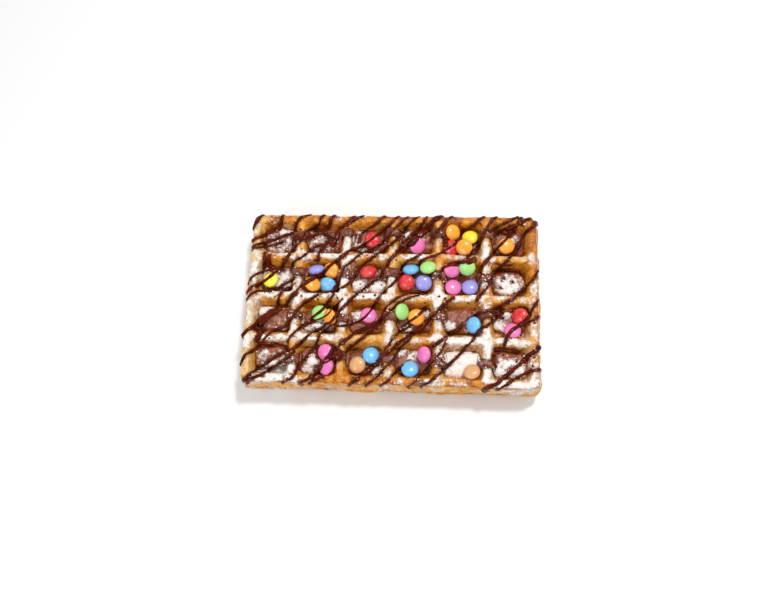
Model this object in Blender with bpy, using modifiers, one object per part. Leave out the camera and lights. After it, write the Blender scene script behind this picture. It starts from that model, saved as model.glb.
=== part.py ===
"""A rectangular Belgian waffle with six pockets by four on both faces. Each row of its upper
pockets holds a band of chocolate spread, sugar-coated chocolate lentils lie on the spread, and
strands of chocolate sauce run across everything. Metres, +Z up, origin under the centre of the
face that it rests on, +X along the six columns and +Y towards the first row."""

import itertools
import math

import bmesh
import bpy
from mathutils import Matrix, Vector, noise
from mathutils.bvhtree import BVHTree

COLUMNS = 6
ROWS = 4
COLUMN_PITCH = 0.0280
ROW_PITCH = 0.0251
THICKNESS = 0.0250
RIDGE_WIDTH = 0.0046
RIM_SHIFT = 0.0008  # the outermost ridge lines lie this much inside the regular pitch
RIM_EXTRA = 0.0024  # and the rim reaches this far outside them
CORNER_CUT = 0.0042
SIDE_FLARE = 0.0017  # the sides lean out this far from each face to the seam at mid height
SEAM_RAGGED = 0.0007
POCKET_DEPTH = 0.0100
POCKET_TAPER = 0.0023
EDGE_BEVEL = 0.0011
MOUTH_JITTER = 0.0008
GAP = 0.0003  # between pieces that touch

TOP = THICKNESS
FLOOR = THICKNESS - POCKET_DEPTH
HALF_LENGTH = COLUMN_PITCH * COLUMNS / 2 - RIM_SHIFT + RIM_EXTRA
HALF_WIDTH = ROW_PITCH * ROWS / 2 - RIM_SHIFT + RIM_EXTRA

CRUST = ("waffle_crust", (0.66, 0.33, 0.09), 0.65)
SPREAD = ("chocolate_spread", (0.10, 0.035, 0.022), 0.55)
SHELL_ROUGHNESS = 0.28
SHELLS = {
    "red": (0.75, 0.02, 0.02),
    "orange": (0.92, 0.33, 0.01),
    "yellow": (0.93, 0.74, 0.03),
    "green": (0.33, 0.71, 0.20),
    "blue": (0.16, 0.50, 0.88),
    "purple": (0.36, 0.36, 0.80),
    "pink": (0.87, 0.24, 0.56),
    "tan": (0.72, 0.38, 0.17),
}

LENTIL_RADIUS = 0.0049
LENTIL_HALF_HEIGHT = 0.0027

# colour, place in plan, how far its flat axis leans over, and the heading that it leans to
LENTILS = [
    ("red", (-0.0126, 0.0370), 8, 200),
    ("pink", (0.0149, 0.0330), 38, 315),
    ("red", (0.0352, 0.0325), 10, 0),
    ("orange", (0.0360, 0.0416), 36, 345),
    ("yellow", (0.0463, 0.0396), 20, 120),
    ("orange", (0.0427, 0.0312), 22, 250),
    ("orange", (0.0678, 0.0340), 10, 300),
    ("yellow", (-0.0729, 0.0103), 18, 140),
    ("purple", (-0.0456, 0.0172), 55, 105),
    ("blue", (-0.0381, 0.0076), 38, 260),
    ("orange", (-0.0364, 0.0166), 30, 230),
    ("orange", (-0.0467, 0.0072), 34, 40),
    ("red", (-0.0141, 0.0163), 34, 100),
    ("purple", (0.0192, 0.0100), 16, 280),
    ("red", (0.0089, 0.0102), 20, 220),
    ("green", (0.0216, 0.0182), 34, 105),
    ("blue", (0.0114, 0.0180), 52, 95),
    ("pink", (0.0366, 0.0078), 12, 20),
    ("purple", (0.0464, 0.0083), 10, 120),
    ("pink", (0.0357, 0.0175), 30, 300),
    ("green", (0.0444, 0.0182), 34, 250),
    ("green", (-0.0419, -0.0098), 10, 200),
    ("orange", (-0.0350, -0.0134), 48, 200),
    ("pink", (-0.0128, -0.0105), 16, 60),
    ("orange", (0.0153, -0.0112), 14, 330),
    ("green", (0.0070, -0.0088), 48, 350),
    ("blue", (0.0484, -0.0156), 44, 185),
    ("red", (0.0753, -0.0098), 32, 205),
    ("pink", (0.0708, -0.0180), 22, 90),
    ("pink", (-0.0367, -0.0336), 30, 225),
    ("pink", (-0.0354, -0.0424), 44, 160),
    ("blue", (-0.0103, -0.0344), 14, 40),
    ("tan", (-0.0180, -0.0402), 10, 230),
    ("pink", (0.0202, -0.0336), 48, 190),
    ("blue", (0.0124, -0.0420), 14, 80),
    ("tan", (0.0475, -0.0428), 30, 120),
]

# for each pocket of a row: the pool's middle in Y, half its width, and its level below the ridges
POOLS = [
    [
        (0.0368, 0.0080, 0.0050),
        (0.0376, 0.0076, 0.0048),
        (0.0376, 0.0074, 0.0056),
        (0.0378, 0.0078, 0.0052),
        (0.0368, 0.0062, 0.0070),
        (0.0374, 0.0080, 0.0054),
    ],
    [
        (0.0136, 0.0068, 0.0058),
        (0.0122, 0.0076, 0.0062),
        (0.0124, 0.0078, 0.0056),
        (0.0128, 0.0072, 0.0072),
        (0.0124, 0.0074, 0.0072),
        (0.0116, 0.0074, 0.0046),
    ],
    [
        (-0.0126, 0.0076, 0.0048),
        (-0.0132, 0.0064, 0.0058),
        (-0.0136, 0.0064, 0.0058),
        (-0.0122, 0.0062, 0.0060),
        (-0.0112, 0.0074, 0.0048),
        (-0.0110, 0.0066, 0.0056),
    ],
    [
        (-0.0352, 0.0064, 0.0048),
        (-0.0378, 0.0078, 0.0056),
        (-0.0376, 0.0074, 0.0060),
        (-0.0368, 0.0074, 0.0056),
        (-0.0378, 0.0078, 0.0054),
        (-0.0370, 0.0078, 0.0050),
    ],
]

# for each ridge between two pockets of a row: the saddle's middle in Y
SADDLES = [
    (0.0378, 0.0402, 0.0410, 0.0408, 0.0408),
    (0.0152, 0.0142, 0.0152, 0.0140, 0.0126),
    (-0.0116, -0.0134, -0.0114, -0.0110, -0.0092),
    (-0.0382, -0.0356, -0.0368, -0.0380, -0.0384),
]
SADDLE_HALF_WIDTH = 0.0024
SADDLE_HEIGHT = 0.0016

# the sauce: each strand's width, and the places that it passes on the ridges and the lentils
STRANDS = [
    (0.0026, [(-0.0870, 0.0445), (-0.0835, 0.0480), (-0.0810, 0.0530)]),
    (0.0020, [(-0.0870, 0.0358), (-0.0800, 0.0370), (-0.0740, 0.0410), (-0.0690, 0.0465),
              (-0.0685, 0.0530)]),
    (0.0019, [(-0.0870, 0.0313), (-0.0800, 0.0334), (-0.0700, 0.0385), (-0.0600, 0.0430),
              (-0.0570, 0.0485), (-0.0510, 0.0530)]),
    (0.0018, [(-0.0870, 0.0300), (-0.0800, 0.0300), (-0.0710, 0.0360), (-0.0580, 0.0410),
              (-0.0510, 0.0428), (-0.0460, 0.0475), (-0.0430, 0.0530)]),
    (0.0017, [(-0.0870, 0.0038), (-0.0800, 0.0060), (-0.0735, 0.0125), (-0.0660, 0.0215),
              (-0.0620, 0.0270), (-0.0565, 0.0335), (-0.0470, 0.0405), (-0.0395, 0.0465),
              (-0.0370, 0.0530)]),
    (0.0016, [(-0.0460, 0.0190), (-0.0440, 0.0240), (-0.0425, 0.0290), (-0.0360, 0.0370),
              (-0.0295, 0.0440), (-0.0240, 0.0530)]),
    (0.0016, [(-0.0870, -0.0030), (-0.0820, 0.0000), (-0.0760, 0.0035), (-0.0670, 0.0095)]),
    (0.0026, [(-0.0870, -0.0237), (-0.0800, -0.0200), (-0.0700, -0.0100), (-0.0620, -0.0040),
              (-0.0570, 0.0010), (-0.0500, 0.0085), (-0.0400, 0.0170), (-0.0330, 0.0225),
              (-0.0300, 0.0262), (-0.0255, 0.0297), (-0.0200, 0.0330), (-0.0120, 0.0382),
              (-0.0040, 0.0440), (0.0035, 0.0530)]),
    (0.0016, [(-0.0760, -0.0280), (-0.0710, -0.0243), (-0.0640, -0.0213), (-0.0560, -0.0130),
              (-0.0490, -0.0050), (-0.0430, 0.0005), (-0.0350, 0.0090), (-0.0250, 0.0200),
              (-0.0200, 0.0250), (-0.0150, 0.0295), (-0.0070, 0.0375), (0.0000, 0.0445),
              (0.0090, 0.0530)]),
    (0.0017, [(-0.0870, -0.0415), (-0.0825, -0.0365), (-0.0770, -0.0335), (-0.0730, -0.0310)]),
    (0.0019, [(-0.0860, -0.0530), (-0.0800, -0.0490), (-0.0700, -0.0400), (-0.0580, -0.0313),
              (-0.0510, -0.0270), (-0.0480, -0.0240), (-0.0410, -0.0200), (-0.0340, -0.0130),
              (-0.0300, -0.0080), (-0.0220, 0.0000), (-0.0160, 0.0050), (-0.0090, 0.0115),
              (-0.0040, 0.0190), (-0.0010, 0.0240), (0.0030, 0.0280), (0.0120, 0.0370),
              (0.0175, 0.0460), (0.0205, 0.0530)]),
    (0.0016, [(-0.0595, -0.0540), (-0.0555, -0.0505), (-0.0530, -0.0460), (-0.0510, -0.0405),
              (-0.0460, -0.0345), (-0.0420, -0.0280), (-0.0400, -0.0240), (-0.0340, -0.0200),
              (-0.0280, -0.0165), (-0.0190, -0.0130), (-0.0125, -0.0090), (-0.0080, -0.0010),
              (-0.0045, 0.0035), (0.0000, 0.0078), (0.0070, 0.0140), (0.0140, 0.0200),
              (0.0200, 0.0235), (0.0260, 0.0257), (0.0320, 0.0300), (0.0400, 0.0375)]),
    (0.0022, [(-0.0490, -0.0540), (-0.0460, -0.0505), (-0.0380, -0.0445), (-0.0310, -0.0330),
              (-0.0275, -0.0270), (-0.0230, -0.0225), (-0.0180, -0.0190), (-0.0030, -0.0080),
              (0.0000, -0.0040), (0.0045, 0.0000), (0.0100, 0.0040), (0.0180, 0.0110),
              (0.0280, 0.0190), (0.0340, 0.0250), (0.0420, 0.0330), (0.0510, 0.0415),
              (0.0570, 0.0455), (0.0625, 0.0530)]),
    (0.0019, [(-0.0440, -0.0540), (-0.0430, -0.0510), (-0.0350, -0.0415), (-0.0280, -0.0315),
              (-0.0240, -0.0275), (-0.0185, -0.0225), (-0.0120, -0.0180), (0.0000, -0.0080),
              (0.0050, -0.0020), (0.0100, 0.0020), (0.0140, 0.0060)]),
    (0.0024, [(-0.0215, -0.0540), (-0.0185, -0.0515), (-0.0130, -0.0475), (-0.0050, -0.0400),
              (0.0000, -0.0325), (0.0030, -0.0285), (0.0070, -0.0250), (0.0110, -0.0220),
              (0.0180, -0.0160), (0.0240, -0.0105), (0.0280, -0.0065), (0.0320, -0.0015),
              (0.0350, 0.0025), (0.0410, 0.0090), (0.0500, 0.0180), (0.0530, 0.0225),
              (0.0580, 0.0270), (0.0620, 0.0310), (0.0680, 0.0375), (0.0735, 0.0450),
              (0.0770, 0.0530)]),
    (0.0017, [(-0.0120, -0.0540), (-0.0090, -0.0495), (-0.0045, -0.0460), (-0.0020, -0.0420),
              (0.0010, -0.0360), (0.0045, -0.0300), (0.0080, -0.0265), (0.0130, -0.0225),
              (0.0170, -0.0185), (0.0220, -0.0130), (0.0280, -0.0085)]),
    (0.0020, [(-0.0030, -0.0540), (0.0020, -0.0490), (0.0100, -0.0405), (0.0200, -0.0320),
              (0.0275, -0.0270), (0.0320, -0.0240), (0.0360, -0.0205), (0.0450, -0.0130),
              (0.0550, -0.0070), (0.0600, -0.0035), (0.0660, -0.0010), (0.0720, 0.0020),
              (0.0800, 0.0085), (0.0840, 0.0135), (0.0870, 0.0175)]),
    (0.0020, [(0.0205, -0.0540), (0.0240, -0.0495), (0.0280, -0.0460), (0.0330, -0.0410),
              (0.0380, -0.0360), (0.0430, -0.0300), (0.0470, -0.0262), (0.0495, -0.0215),
              (0.0550, -0.0175), (0.0590, -0.0135), (0.0660, -0.0070), (0.0720, -0.0010)]),
    (0.0026, [(0.0570, -0.0540), (0.0620, -0.0495), (0.0700, -0.0430), (0.0760, -0.0360),
              (0.0800, -0.0315), (0.0870, -0.0275)]),
    (0.0016, [(0.0635, -0.0540), (0.0665, -0.0515), (0.0695, -0.0485), (0.0740, -0.0455),
              (0.0800, -0.0420), (0.0870, -0.0408)]),
    (0.0018, [(0.0660, -0.0285), (0.0675, -0.0235), (0.0705, -0.0185), (0.0750, -0.0135),
              (0.0800, -0.0108), (0.0870, -0.0090)]),
    (0.0018, [(0.0470, -0.0015), (0.0510, 0.0010), (0.0560, 0.0065), (0.0590, 0.0110),
              (0.0615, 0.0160), (0.0655, 0.0215), (0.0700, 0.0255), (0.0740, 0.0295),
              (0.0770, 0.0360), (0.0800, 0.0435), (0.0830, 0.0530)]),
    (0.0016, [(0.0415, 0.0210), (0.0430, 0.0245), (0.0460, 0.0300), (0.0500, 0.0370),
              (0.0560, 0.0440), (0.0590, 0.0470), (0.0635, 0.0530)]),
    (0.0019, [(0.0170, 0.0380), (0.0270, 0.0435), (0.0310, 0.0480), (0.0345, 0.0530)]),
    (0.0026, [(0.0570, 0.0425), (0.0620, 0.0455), (0.0680, 0.0485), (0.0750, 0.0530)]),
    (0.0021, [(-0.0160, 0.0400), (-0.0100, 0.0465), (-0.0060, 0.0530)]),
    (0.0019, [(0.0150, 0.0400), (0.0200, 0.0460), (0.0230, 0.0495), (0.0260, 0.0530)]),
    (0.0021, [(0.0760, 0.0345), (0.0800, 0.0385), (0.0840, 0.0430), (0.0870, 0.0465)]),
    (0.0021, [(0.0430, 0.0415), (0.0480, 0.0465), (0.0540, 0.0530)]),
]
STRAND_STEP = 0.0005
STRAND_SLOPE = 1.3  # the steepest that a strand falls from a ridge, as height over length
STRAND_SINK = 0.25  # its middle lies this share of its radius above the crust
STRAND_SLACK = 0.0007
SHORT_EDGE = 0.0005
DRIP_LENGTHS = (0.0050, 0.0030, 0.0066, 0.0040)


def clear_scene():
    for obj in list(bpy.data.objects):
        bpy.data.objects.remove(obj)


def collection(name):
    made = bpy.data.collections.new(name)
    bpy.context.scene.collection.children.link(made)
    return made


def material(name, colour, roughness):
    found = bpy.data.materials.get(name)
    if found:
        return found
    made = bpy.data.materials.new(name)
    made.use_nodes = True
    shader = made.node_tree.nodes["Principled BSDF"]
    shader.inputs["Base Color"].default_value = (*colour, 1.0)
    shader.inputs["Roughness"].default_value = roughness
    made.diffuse_color = (*colour, 1.0)
    return made


def by_place(co):
    """One number for a place, by which elements are put in order."""
    return round(co.x + 1.93 * co.y + 3.71 * co.z, 7)


def object_of(name, bm, look, where):
    """An object of this mesh, its vertices and faces in an order given by their places."""
    bm.verts.sort(key=lambda vert: by_place(vert.co))
    bm.faces.sort(key=lambda face: by_place(face.calc_center_median()))
    mesh = bpy.data.meshes.new(name)
    bm.to_mesh(mesh)
    bm.free()
    mesh.materials.append(material(*look))
    obj = bpy.data.objects.new(name, mesh)
    where.objects.link(obj)
    return obj


def mesh_of(obj):
    """The object's mesh as the viewport evaluates it."""
    graph = bpy.context.evaluated_depsgraph_get()
    return bpy.data.meshes.new_from_object(obj.evaluated_get(graph), depsgraph=graph)


def tree_of(objects):
    """One search tree over the surfaces of these objects, in world space."""
    bpy.context.view_layer.update()
    bm = bmesh.new()
    for obj in objects:
        mesh = mesh_of(obj)
        mesh.transform(obj.matrix_world)
        bm.from_mesh(mesh)
        bpy.data.meshes.remove(mesh)
    tree = BVHTree.FromBMesh(bm)
    bm.free()
    return tree


def height_at(tree, x, y):
    """The highest point of the tree's surfaces over a place in plan, or None."""
    hit = tree.ray_cast(Vector((x, y, 2 * THICKNESS)), Vector((0, 0, -1)))
    return hit[0].z if hit[0] else None


def ridge_lines(count, pitch):
    """The middle lines of the ridges across one direction, from one rim to the other."""
    lines = [(i - count / 2) * pitch for i in range(count + 1)]
    lines[0] += RIM_SHIFT
    lines[-1] -= RIM_SHIFT
    return lines


def jitter(co, size, seed):
    """A small shift in plan that varies smoothly over the waffle."""
    x, y = (noise.noise(Vector((co.x * 60, co.y * 60, seed + 20 * i))) for i in range(2))
    return Vector((x, y, 0)) * size


def sink_pockets(bm):
    """Insets each cell of the grid to a pocket's mouth and lowers it to a smaller floor."""
    mouths = bm.faces[:]
    bmesh.ops.inset_individual(bm, faces=mouths, thickness=RIDGE_WIDTH / 2)
    for face in mouths:
        for vert in face.verts:
            vert.co += jitter(vert.co, MOUTH_JITTER, 1.0)
    floors = bmesh.ops.extrude_discrete_faces(bm, faces=mouths)["faces"]
    for face in floors:
        middle = face.calc_center_median()
        for vert in face.verts:
            arm = vert.co - middle
            vert.co.x -= math.copysign(POCKET_TAPER, arm.x)
            vert.co.y -= math.copysign(POCKET_TAPER, arm.y)
            vert.co.z -= POCKET_DEPTH


def extrude_outline(bm):
    """Extrudes the open outline, and gives the vertices of the new one."""
    outline = [edge for edge in bm.edges if edge.is_boundary]
    made = bmesh.ops.extrude_edge_only(bm, edges=outline)["geom"]
    return [v for v in made if isinstance(v, bmesh.types.BMVert)]


def widen(vert, out):
    """Moves a vertex of the outline straight out from the waffle."""
    vert.co.x *= 1 + out / HALF_LENGTH
    vert.co.y *= 1 + out / HALF_WIDTH


def add_rim_and_side(bm):
    """Widens the grid to the rim, cuts its corners round, and drops the flared side to the seam."""
    x_line = ridge_lines(COLUMNS, COLUMN_PITCH)[-1]
    y_line = ridge_lines(ROWS, ROW_PITCH)[-1]
    x_rim = HALF_LENGTH - EDGE_BEVEL
    y_rim = HALF_WIDTH - EDGE_BEVEL
    for vert in extrude_outline(bm):
        if abs(abs(vert.co.x) - x_line) < GAP:
            vert.co.x = math.copysign(x_rim, vert.co.x)
        if abs(abs(vert.co.y) - y_line) < GAP:
            vert.co.y = math.copysign(y_rim, vert.co.y)
    corners = [v for v in bm.verts if abs(v.co.x) > x_rim - GAP and abs(v.co.y) > y_rim - GAP]
    bmesh.ops.bevel(bm, geom=corners, offset=CORNER_CUT, segments=2, profile=0.5, affect="VERTICES")
    for vert in extrude_outline(bm):
        widen(vert, EDGE_BEVEL)
        vert.co.z -= EDGE_BEVEL
    for vert in extrude_outline(bm):
        ragged = SEAM_RAGGED * noise.noise(Vector((vert.co.x * 45, vert.co.y * 45, 7.0)))
        widen(vert, SIDE_FLARE + ragged)
        vert.co.z = 0.0


def round_mouths(bm):
    """Bevels the edges where the walls of the pockets meet the ridges."""
    top = THICKNESS / 2
    bm.normal_update()
    edges = []
    for edge in bm.edges:
        level = all(vert.co.z > top - GAP for vert in edge.verts)
        if level and min(abs(face.normal.z) for face in edge.link_faces) < 0.5:
            edges.append(edge)
    bmesh.ops.bevel(bm, geom=edges, offset=EDGE_BEVEL, segments=1, profile=0.5, affect="EDGES")


def make_waffle(parts):
    """The upper half, open at the seam, mirrored to the lower one."""
    bm = bmesh.new()
    bmesh.ops.create_grid(bm, x_segments=COLUMNS, y_segments=ROWS, size=1)
    xs = ridge_lines(COLUMNS, COLUMN_PITCH)
    ys = ridge_lines(ROWS, ROW_PITCH)
    for vert in bm.verts:
        column = round((vert.co.x + 1) / 2 * COLUMNS)
        row = round((vert.co.y + 1) / 2 * ROWS)
        vert.co = (xs[column], ys[row], THICKNESS / 2)
    sink_pockets(bm)
    add_rim_and_side(bm)
    bmesh.ops.recalc_face_normals(bm, faces=bm.faces)
    round_mouths(bm)
    bmesh.ops.triangulate(bm, faces=bm.faces)
    waffle = object_of("waffle", bm, CRUST, parts)
    waffle.location.z = THICKNESS / 2
    mirror = waffle.modifiers.new("lower half", "MIRROR")
    mirror.use_axis = (False, False, True)
    mirror.merge_threshold = 0.0001
    return waffle


def ring(x, middle, half_width, low, high):
    """One section of a spread band: a flat base, full sides and a domed top, at one x."""
    rise = high - low
    outline = (
        (-0.86, 0.00), (0.86, 0.00), (1.00, 0.50), (0.66, 0.92),
        (0.00, 1.00), (-0.66, 0.92), (-1.00, 0.50),
    )
    return [Vector((x, middle + side * half_width, low + up * rise)) for side, up in outline]


def pool_sections(row, column, xs):
    """The sections of the spread in one pocket, from its left wall to its right one."""
    middle, half_width, level = POOLS[row][column]
    foot = RIDGE_WIDTH / 2 + POCKET_TAPER + EDGE_BEVEL / 2
    left, right = xs[column] + foot, xs[column + 1] - foot
    made = []
    for share, width in ((0.0, 0.90), (0.5, 1.0), (1.0, 0.88)):
        x = left + share * (right - left)
        wave = noise.noise(Vector((x * 90, middle * 90, 3.0)))
        high = TOP - level + 0.0006 * wave
        made.append(ring(x, middle, half_width * width, FLOOR + 1.5 * GAP, high))
    return made


def saddle_sections(row, ridge, xs):
    """The sections of the spread where it lies over the ridge to the next pocket."""
    middle = SADDLES[row][ridge]
    x = xs[ridge + 1]
    shoulder = RIDGE_WIDTH / 2 + 2.5 * GAP
    low = TOP + GAP
    return [
        ring(x - shoulder, middle, SADDLE_HALF_WIDTH, low, low + 0.8 * SADDLE_HEIGHT),
        ring(x, middle, SADDLE_HALF_WIDTH * 0.85, low, low + SADDLE_HEIGHT),
        ring(x + shoulder, middle, SADDLE_HALF_WIDTH, low, low + 0.8 * SADDLE_HEIGHT),
    ]


def make_spread(row, parts):
    """The band of spread along one row: a loft through the pools and the saddles between them."""
    xs = ridge_lines(COLUMNS, COLUMN_PITCH)
    sections = []
    for column in range(COLUMNS):
        sections += pool_sections(row, column, xs)
        if column < COLUMNS - 1:
            sections += saddle_sections(row, column, xs)
    bm = bmesh.new()
    rings = [[bm.verts.new(point) for point in section] for section in sections]
    for first, second in zip(rings, rings[1:]):
        for i in range(len(first)):
            j = (i + 1) % len(first)
            bm.faces.new((first[i], first[j], second[j], second[i]))
    bm.faces.new(rings[0])
    bm.faces.new(rings[-1])
    bmesh.ops.recalc_face_normals(bm, faces=bm.faces)
    return object_of(f"spread_row_{row + 1}", bm, SPREAD, parts)


def settle(obj, tree, neighbours):
    """Lowers a lentil from above until it is a gap clear of what lies under it."""
    bpy.context.view_layer.update()
    mesh = obj.data
    points = [obj.matrix_world @ v.co for v in mesh.vertices]
    points += [obj.matrix_world @ f.center for f in mesh.polygons]
    own = tree_of([obj])
    drop = 1.0
    for point in points:
        hit = tree.ray_cast(point, Vector((0, 0, -1)))
        if hit[0]:
            drop = min(drop, hit[3])
    for other in neighbours:
        for vert in other.data.vertices:
            hit = own.ray_cast(other.matrix_world @ vert.co, Vector((0, 0, 1)))
            if hit[0]:
                drop = min(drop, hit[3])
    obj.location.z -= drop
    while tree_of([obj]).overlap(tree):
        obj.location.z += GAP / 3
    obj.location.z += GAP


def make_lentils(parts, under):
    """The lentils in their order, each settled on the waffle, the spread and earlier ones."""
    made = []
    for number, (colour, place, lean, heading) in enumerate(LENTILS, 1):
        bm = bmesh.new()
        bmesh.ops.create_uvsphere(bm, u_segments=10, v_segments=4, radius=1.0)
        size = Matrix.Diagonal((LENTIL_RADIUS, LENTIL_RADIUS, LENTIL_HALF_HEIGHT, 1.0))
        turn = Matrix.Rotation(math.radians(heading), 4, "Z")
        tip = Matrix.Rotation(math.radians(lean), 4, "Y")
        bmesh.ops.transform(bm, matrix=turn @ tip @ turn.inverted() @ size, verts=bm.verts)
        look = (f"shell_{colour}", SHELLS[colour], SHELL_ROUGHNESS)
        obj = object_of(f"lentil_{number:02d}_{colour}", bm, look, parts)
        obj.location = (*place, 2 * THICKNESS)
        neighbours = [
            o for o in made if (o.location - obj.location).to_2d().length < 3 * LENTIL_RADIUS
        ]
        settle(obj, tree_of(under + neighbours), neighbours + under)
        made.append(obj)
    return made


def smooth_path(points):
    """A curve in plan through the points, sampled every STRAND_STEP."""
    ends = [2 * points[0] - points[1], *points, 2 * points[-1] - points[-2]]
    path = []
    for a, b, c, d in zip(ends, ends[1:], ends[2:], ends[3:]):
        count = max(2, round((c - b).length / STRAND_STEP))
        for i in range(count):
            t = i / count
            path.append(
                0.5 * (2 * b + (c - a) * t + (2 * a - 5 * b + 4 * c - d) * t * t
                       + (3 * b - a - 3 * c + d) * t ** 3)
            )
    return path + [points[-1]]


def outline_near(point):
    """The nearest place on the rounded outline, the way out there, and how far beyond it is."""
    sign = Vector((math.copysign(1, point.x), math.copysign(1, point.y)))
    place = point * sign
    corner = Vector((HALF_LENGTH - CORNER_CUT, HALF_WIDTH - CORNER_CUT))
    if place.x > corner.x and place.y > corner.y:
        out = (place - corner).normalized()
        edge = corner + out * CORNER_CUT
    elif place.x / HALF_LENGTH > place.y / HALF_WIDTH:
        out = Vector((1.0, 0.0))
        edge = Vector((HALF_LENGTH, place.y))
    else:
        out = Vector((0.0, 1.0))
        edge = Vector((place.x, HALF_WIDTH))
    return edge * sign, out * sign, (place - edge).dot(out)


def over_edge(point):
    return outline_near(point)[2] > 0


def rest_heights(path, radius, crust, toppings):
    """For each place, the strand's height on the crust and the least height over the toppings."""
    wanted, least = [], []
    for i, point in enumerate(path):
        ahead = path[min(i + 1, len(path) - 1)] - path[max(i - 1, 0)]
        across = Vector((-ahead.y, ahead.x)).normalized()
        ground = height_at(crust, point.x, point.y) or TOP
        over = 0.0
        for side in (-1.3, -0.65, 0.0, 0.65, 1.3):
            spot = point + across * side * radius
            found = height_at(toppings, spot.x, spot.y)
            if found:
                over = max(over, found + radius + 2.5 * GAP)
        least.append(over)
        wanted.append(max(ground + STRAND_SINK * radius, over))
    for order in (range(1, len(path)), range(len(path) - 2, -1, -1)):
        for i in order:
            before = i - 1 if order.step == 1 else i + 1
            fall = STRAND_SLOPE * (path[i] - path[before]).length
            wanted[i] = max(wanted[i], wanted[before] - fall)
    return wanted, least


def worst_bend(heights, first, last):
    """Of the places between two kept ones, the one furthest from the straight line."""
    worst, where = 0.0, None
    for i in range(first + 1, last):
        share = (i - first) / (last - first)
        off = abs(heights[i] - heights[first] - share * (heights[last] - heights[first]))
        if off > worst:
            worst, where = off, i
    return worst, where


def thin_out(path, heights, longest):
    """The fewest places that keep the strand's line within STRAND_SLACK."""
    kept = [0, len(path) - 1]
    spans = [(0, len(path) - 1)]
    while spans:
        first, last = spans.pop()
        worst, where = worst_bend(heights, first, last)
        if worst < STRAND_SLACK:
            if (path[last] - path[first]).length < longest:
                continue
            where = (first + last) // 2
        kept.append(where)
        spans += [(first, where), (where, last)]
    return sorted(kept)


def drip(point, number):
    """Where a strand leaves the top face, the places that it runs down the side."""
    edge, out, _ = outline_near(point)
    lean = SIDE_FLARE / (THICKNESS / 2)
    depths = (0.0012, DRIP_LENGTHS[number % len(DRIP_LENGTHS)])
    return [(edge + out * (lean * depth + 0.0001), TOP - depth) for depth in depths]


def strand_points(number, width, places, crust, toppings):
    """The strand's line in space, with a drip where it runs over an edge."""
    path = smooth_path([Vector(place) for place in places])
    on_top = [p for p in path if not over_edge(p)]
    wanted, least = rest_heights(on_top, width / 2, crust, toppings)
    kept = thin_out(on_top, wanted, 12 * width)
    heights = {i: wanted[i] for i in kept}
    for first, last in zip(kept, kept[1:]):
        lack = 0.0
        for i in range(first, last + 1):
            share = (i - first) / (last - first)
            level = wanted[first] + share * (wanted[last] - wanted[first])
            lack = max(lack, least[i] - level)
        heights[first] = max(heights[first], wanted[first] + lack)
        heights[last] = max(heights[last], wanted[last] + lack)
    line = [(on_top[i], heights[i]) for i in kept]
    if over_edge(path[0]):
        line = drip(path[0], number)[::-1] + line
    if over_edge(path[-1]):
        line += drip(path[-1], number + 1)
    return [Vector((*place, height)) for place, height in line]


def make_section(where):
    """A closed five-sided outline of radius one, swept along each strand."""
    curve = bpy.data.curves.new("section", "CURVE")
    spline = curve.splines.new("POLY")
    spline.points.add(4)
    for i, point in enumerate(spline.points):
        angle = math.radians(90 + 72 * i)
        point.co = (math.cos(angle), math.sin(angle), 0.0, 1.0)
    spline.use_cyclic_u = True
    section = bpy.data.objects.new("section", curve)
    where.objects.link(section)
    return section


def make_strand(number, width, points, section, where):
    """A strand of sauce as a tube, thinner at its ends."""
    curve = bpy.data.curves.new(f"strand_{number}", "CURVE")
    curve.dimensions = "3D"
    curve.bevel_mode = "OBJECT"
    curve.bevel_object = section
    curve.use_fill_caps = True
    spline = curve.splines.new("POLY")
    spline.points.add(len(points) - 1)
    for i, point in enumerate(points):
        spline.points[i].co = (*point, 1.0)
        spline.points[i].radius = width / 2 * (0.75 if i in (0, len(points) - 1) else 1.0)
    tube = bpy.data.objects.new(curve.name, curve)
    where.objects.link(tube)
    bpy.context.view_layer.update()
    mesh = mesh_of(tube)
    bm = bmesh.new()
    bm.from_mesh(mesh)
    bmesh.ops.remove_doubles(bm, verts=bm.verts, dist=0.00001)
    bmesh.ops.recalc_face_normals(bm, faces=bm.faces)
    bpy.data.objects.remove(tube)
    return object_of(f"sauce_{number}", bm, SPREAD, where)


def other_diagonal(edge, one, other):
    """The two triangles that split the same flat quad the other way, or None."""
    start = next(loop for loop in one.loops if loop.edge is edge)
    p, q, a = start.vert, start.link_loop_next.vert, start.link_loop_prev.vert
    b = next(vert for vert in other.verts if vert not in (p, q))
    if one.normal.dot(other.normal) < 0.999 or any(e.other_vert(a) is b for e in a.link_edges):
        return None
    made = ((a, p, b), (b, q, a))
    for r, s, t in made:
        turned = (s.co - r.co).cross(t.co - r.co)
        if turned.length < 1e-12 or turned.normalized().dot(one.normal) < 0.5:
            return None
    return made


def turn_doubled_edges(bm):
    """Turns the diagonals of flat faces that run along an edge of other faces."""
    bm.normal_update()
    for edge in [e for e in bm.edges if len(e.link_faces) > 2]:
        for one, other in itertools.combinations(edge.link_faces, 2):
            made = other_diagonal(edge, one, other)
            if made:
                bmesh.ops.delete(bm, geom=[one, other], context="FACES_ONLY")
                for corners in made:
                    bm.faces.new(corners)
                break
    bm.normal_update()


def stays_closed(edge, middle):
    """Whether an edge can shrink to its middle without opening or folding the surface."""
    one, other = edge.verts
    around = {e.other_vert(one) for e in one.link_edges}
    if len(around & {e.other_vert(other) for e in other.link_edges}) != 2:
        return False
    for end in edge.verts:
        for face in end.link_faces:
            if edge in face.edges:
                continue
            corners = [middle if v is end else v.co for v in face.verts]
            turned = (corners[1] - corners[0]).cross(corners[2] - corners[0])
            if turned.length < 1e-12 or turned.normalized().dot(face.normal) < 0.5:
                return False
    return True


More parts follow.
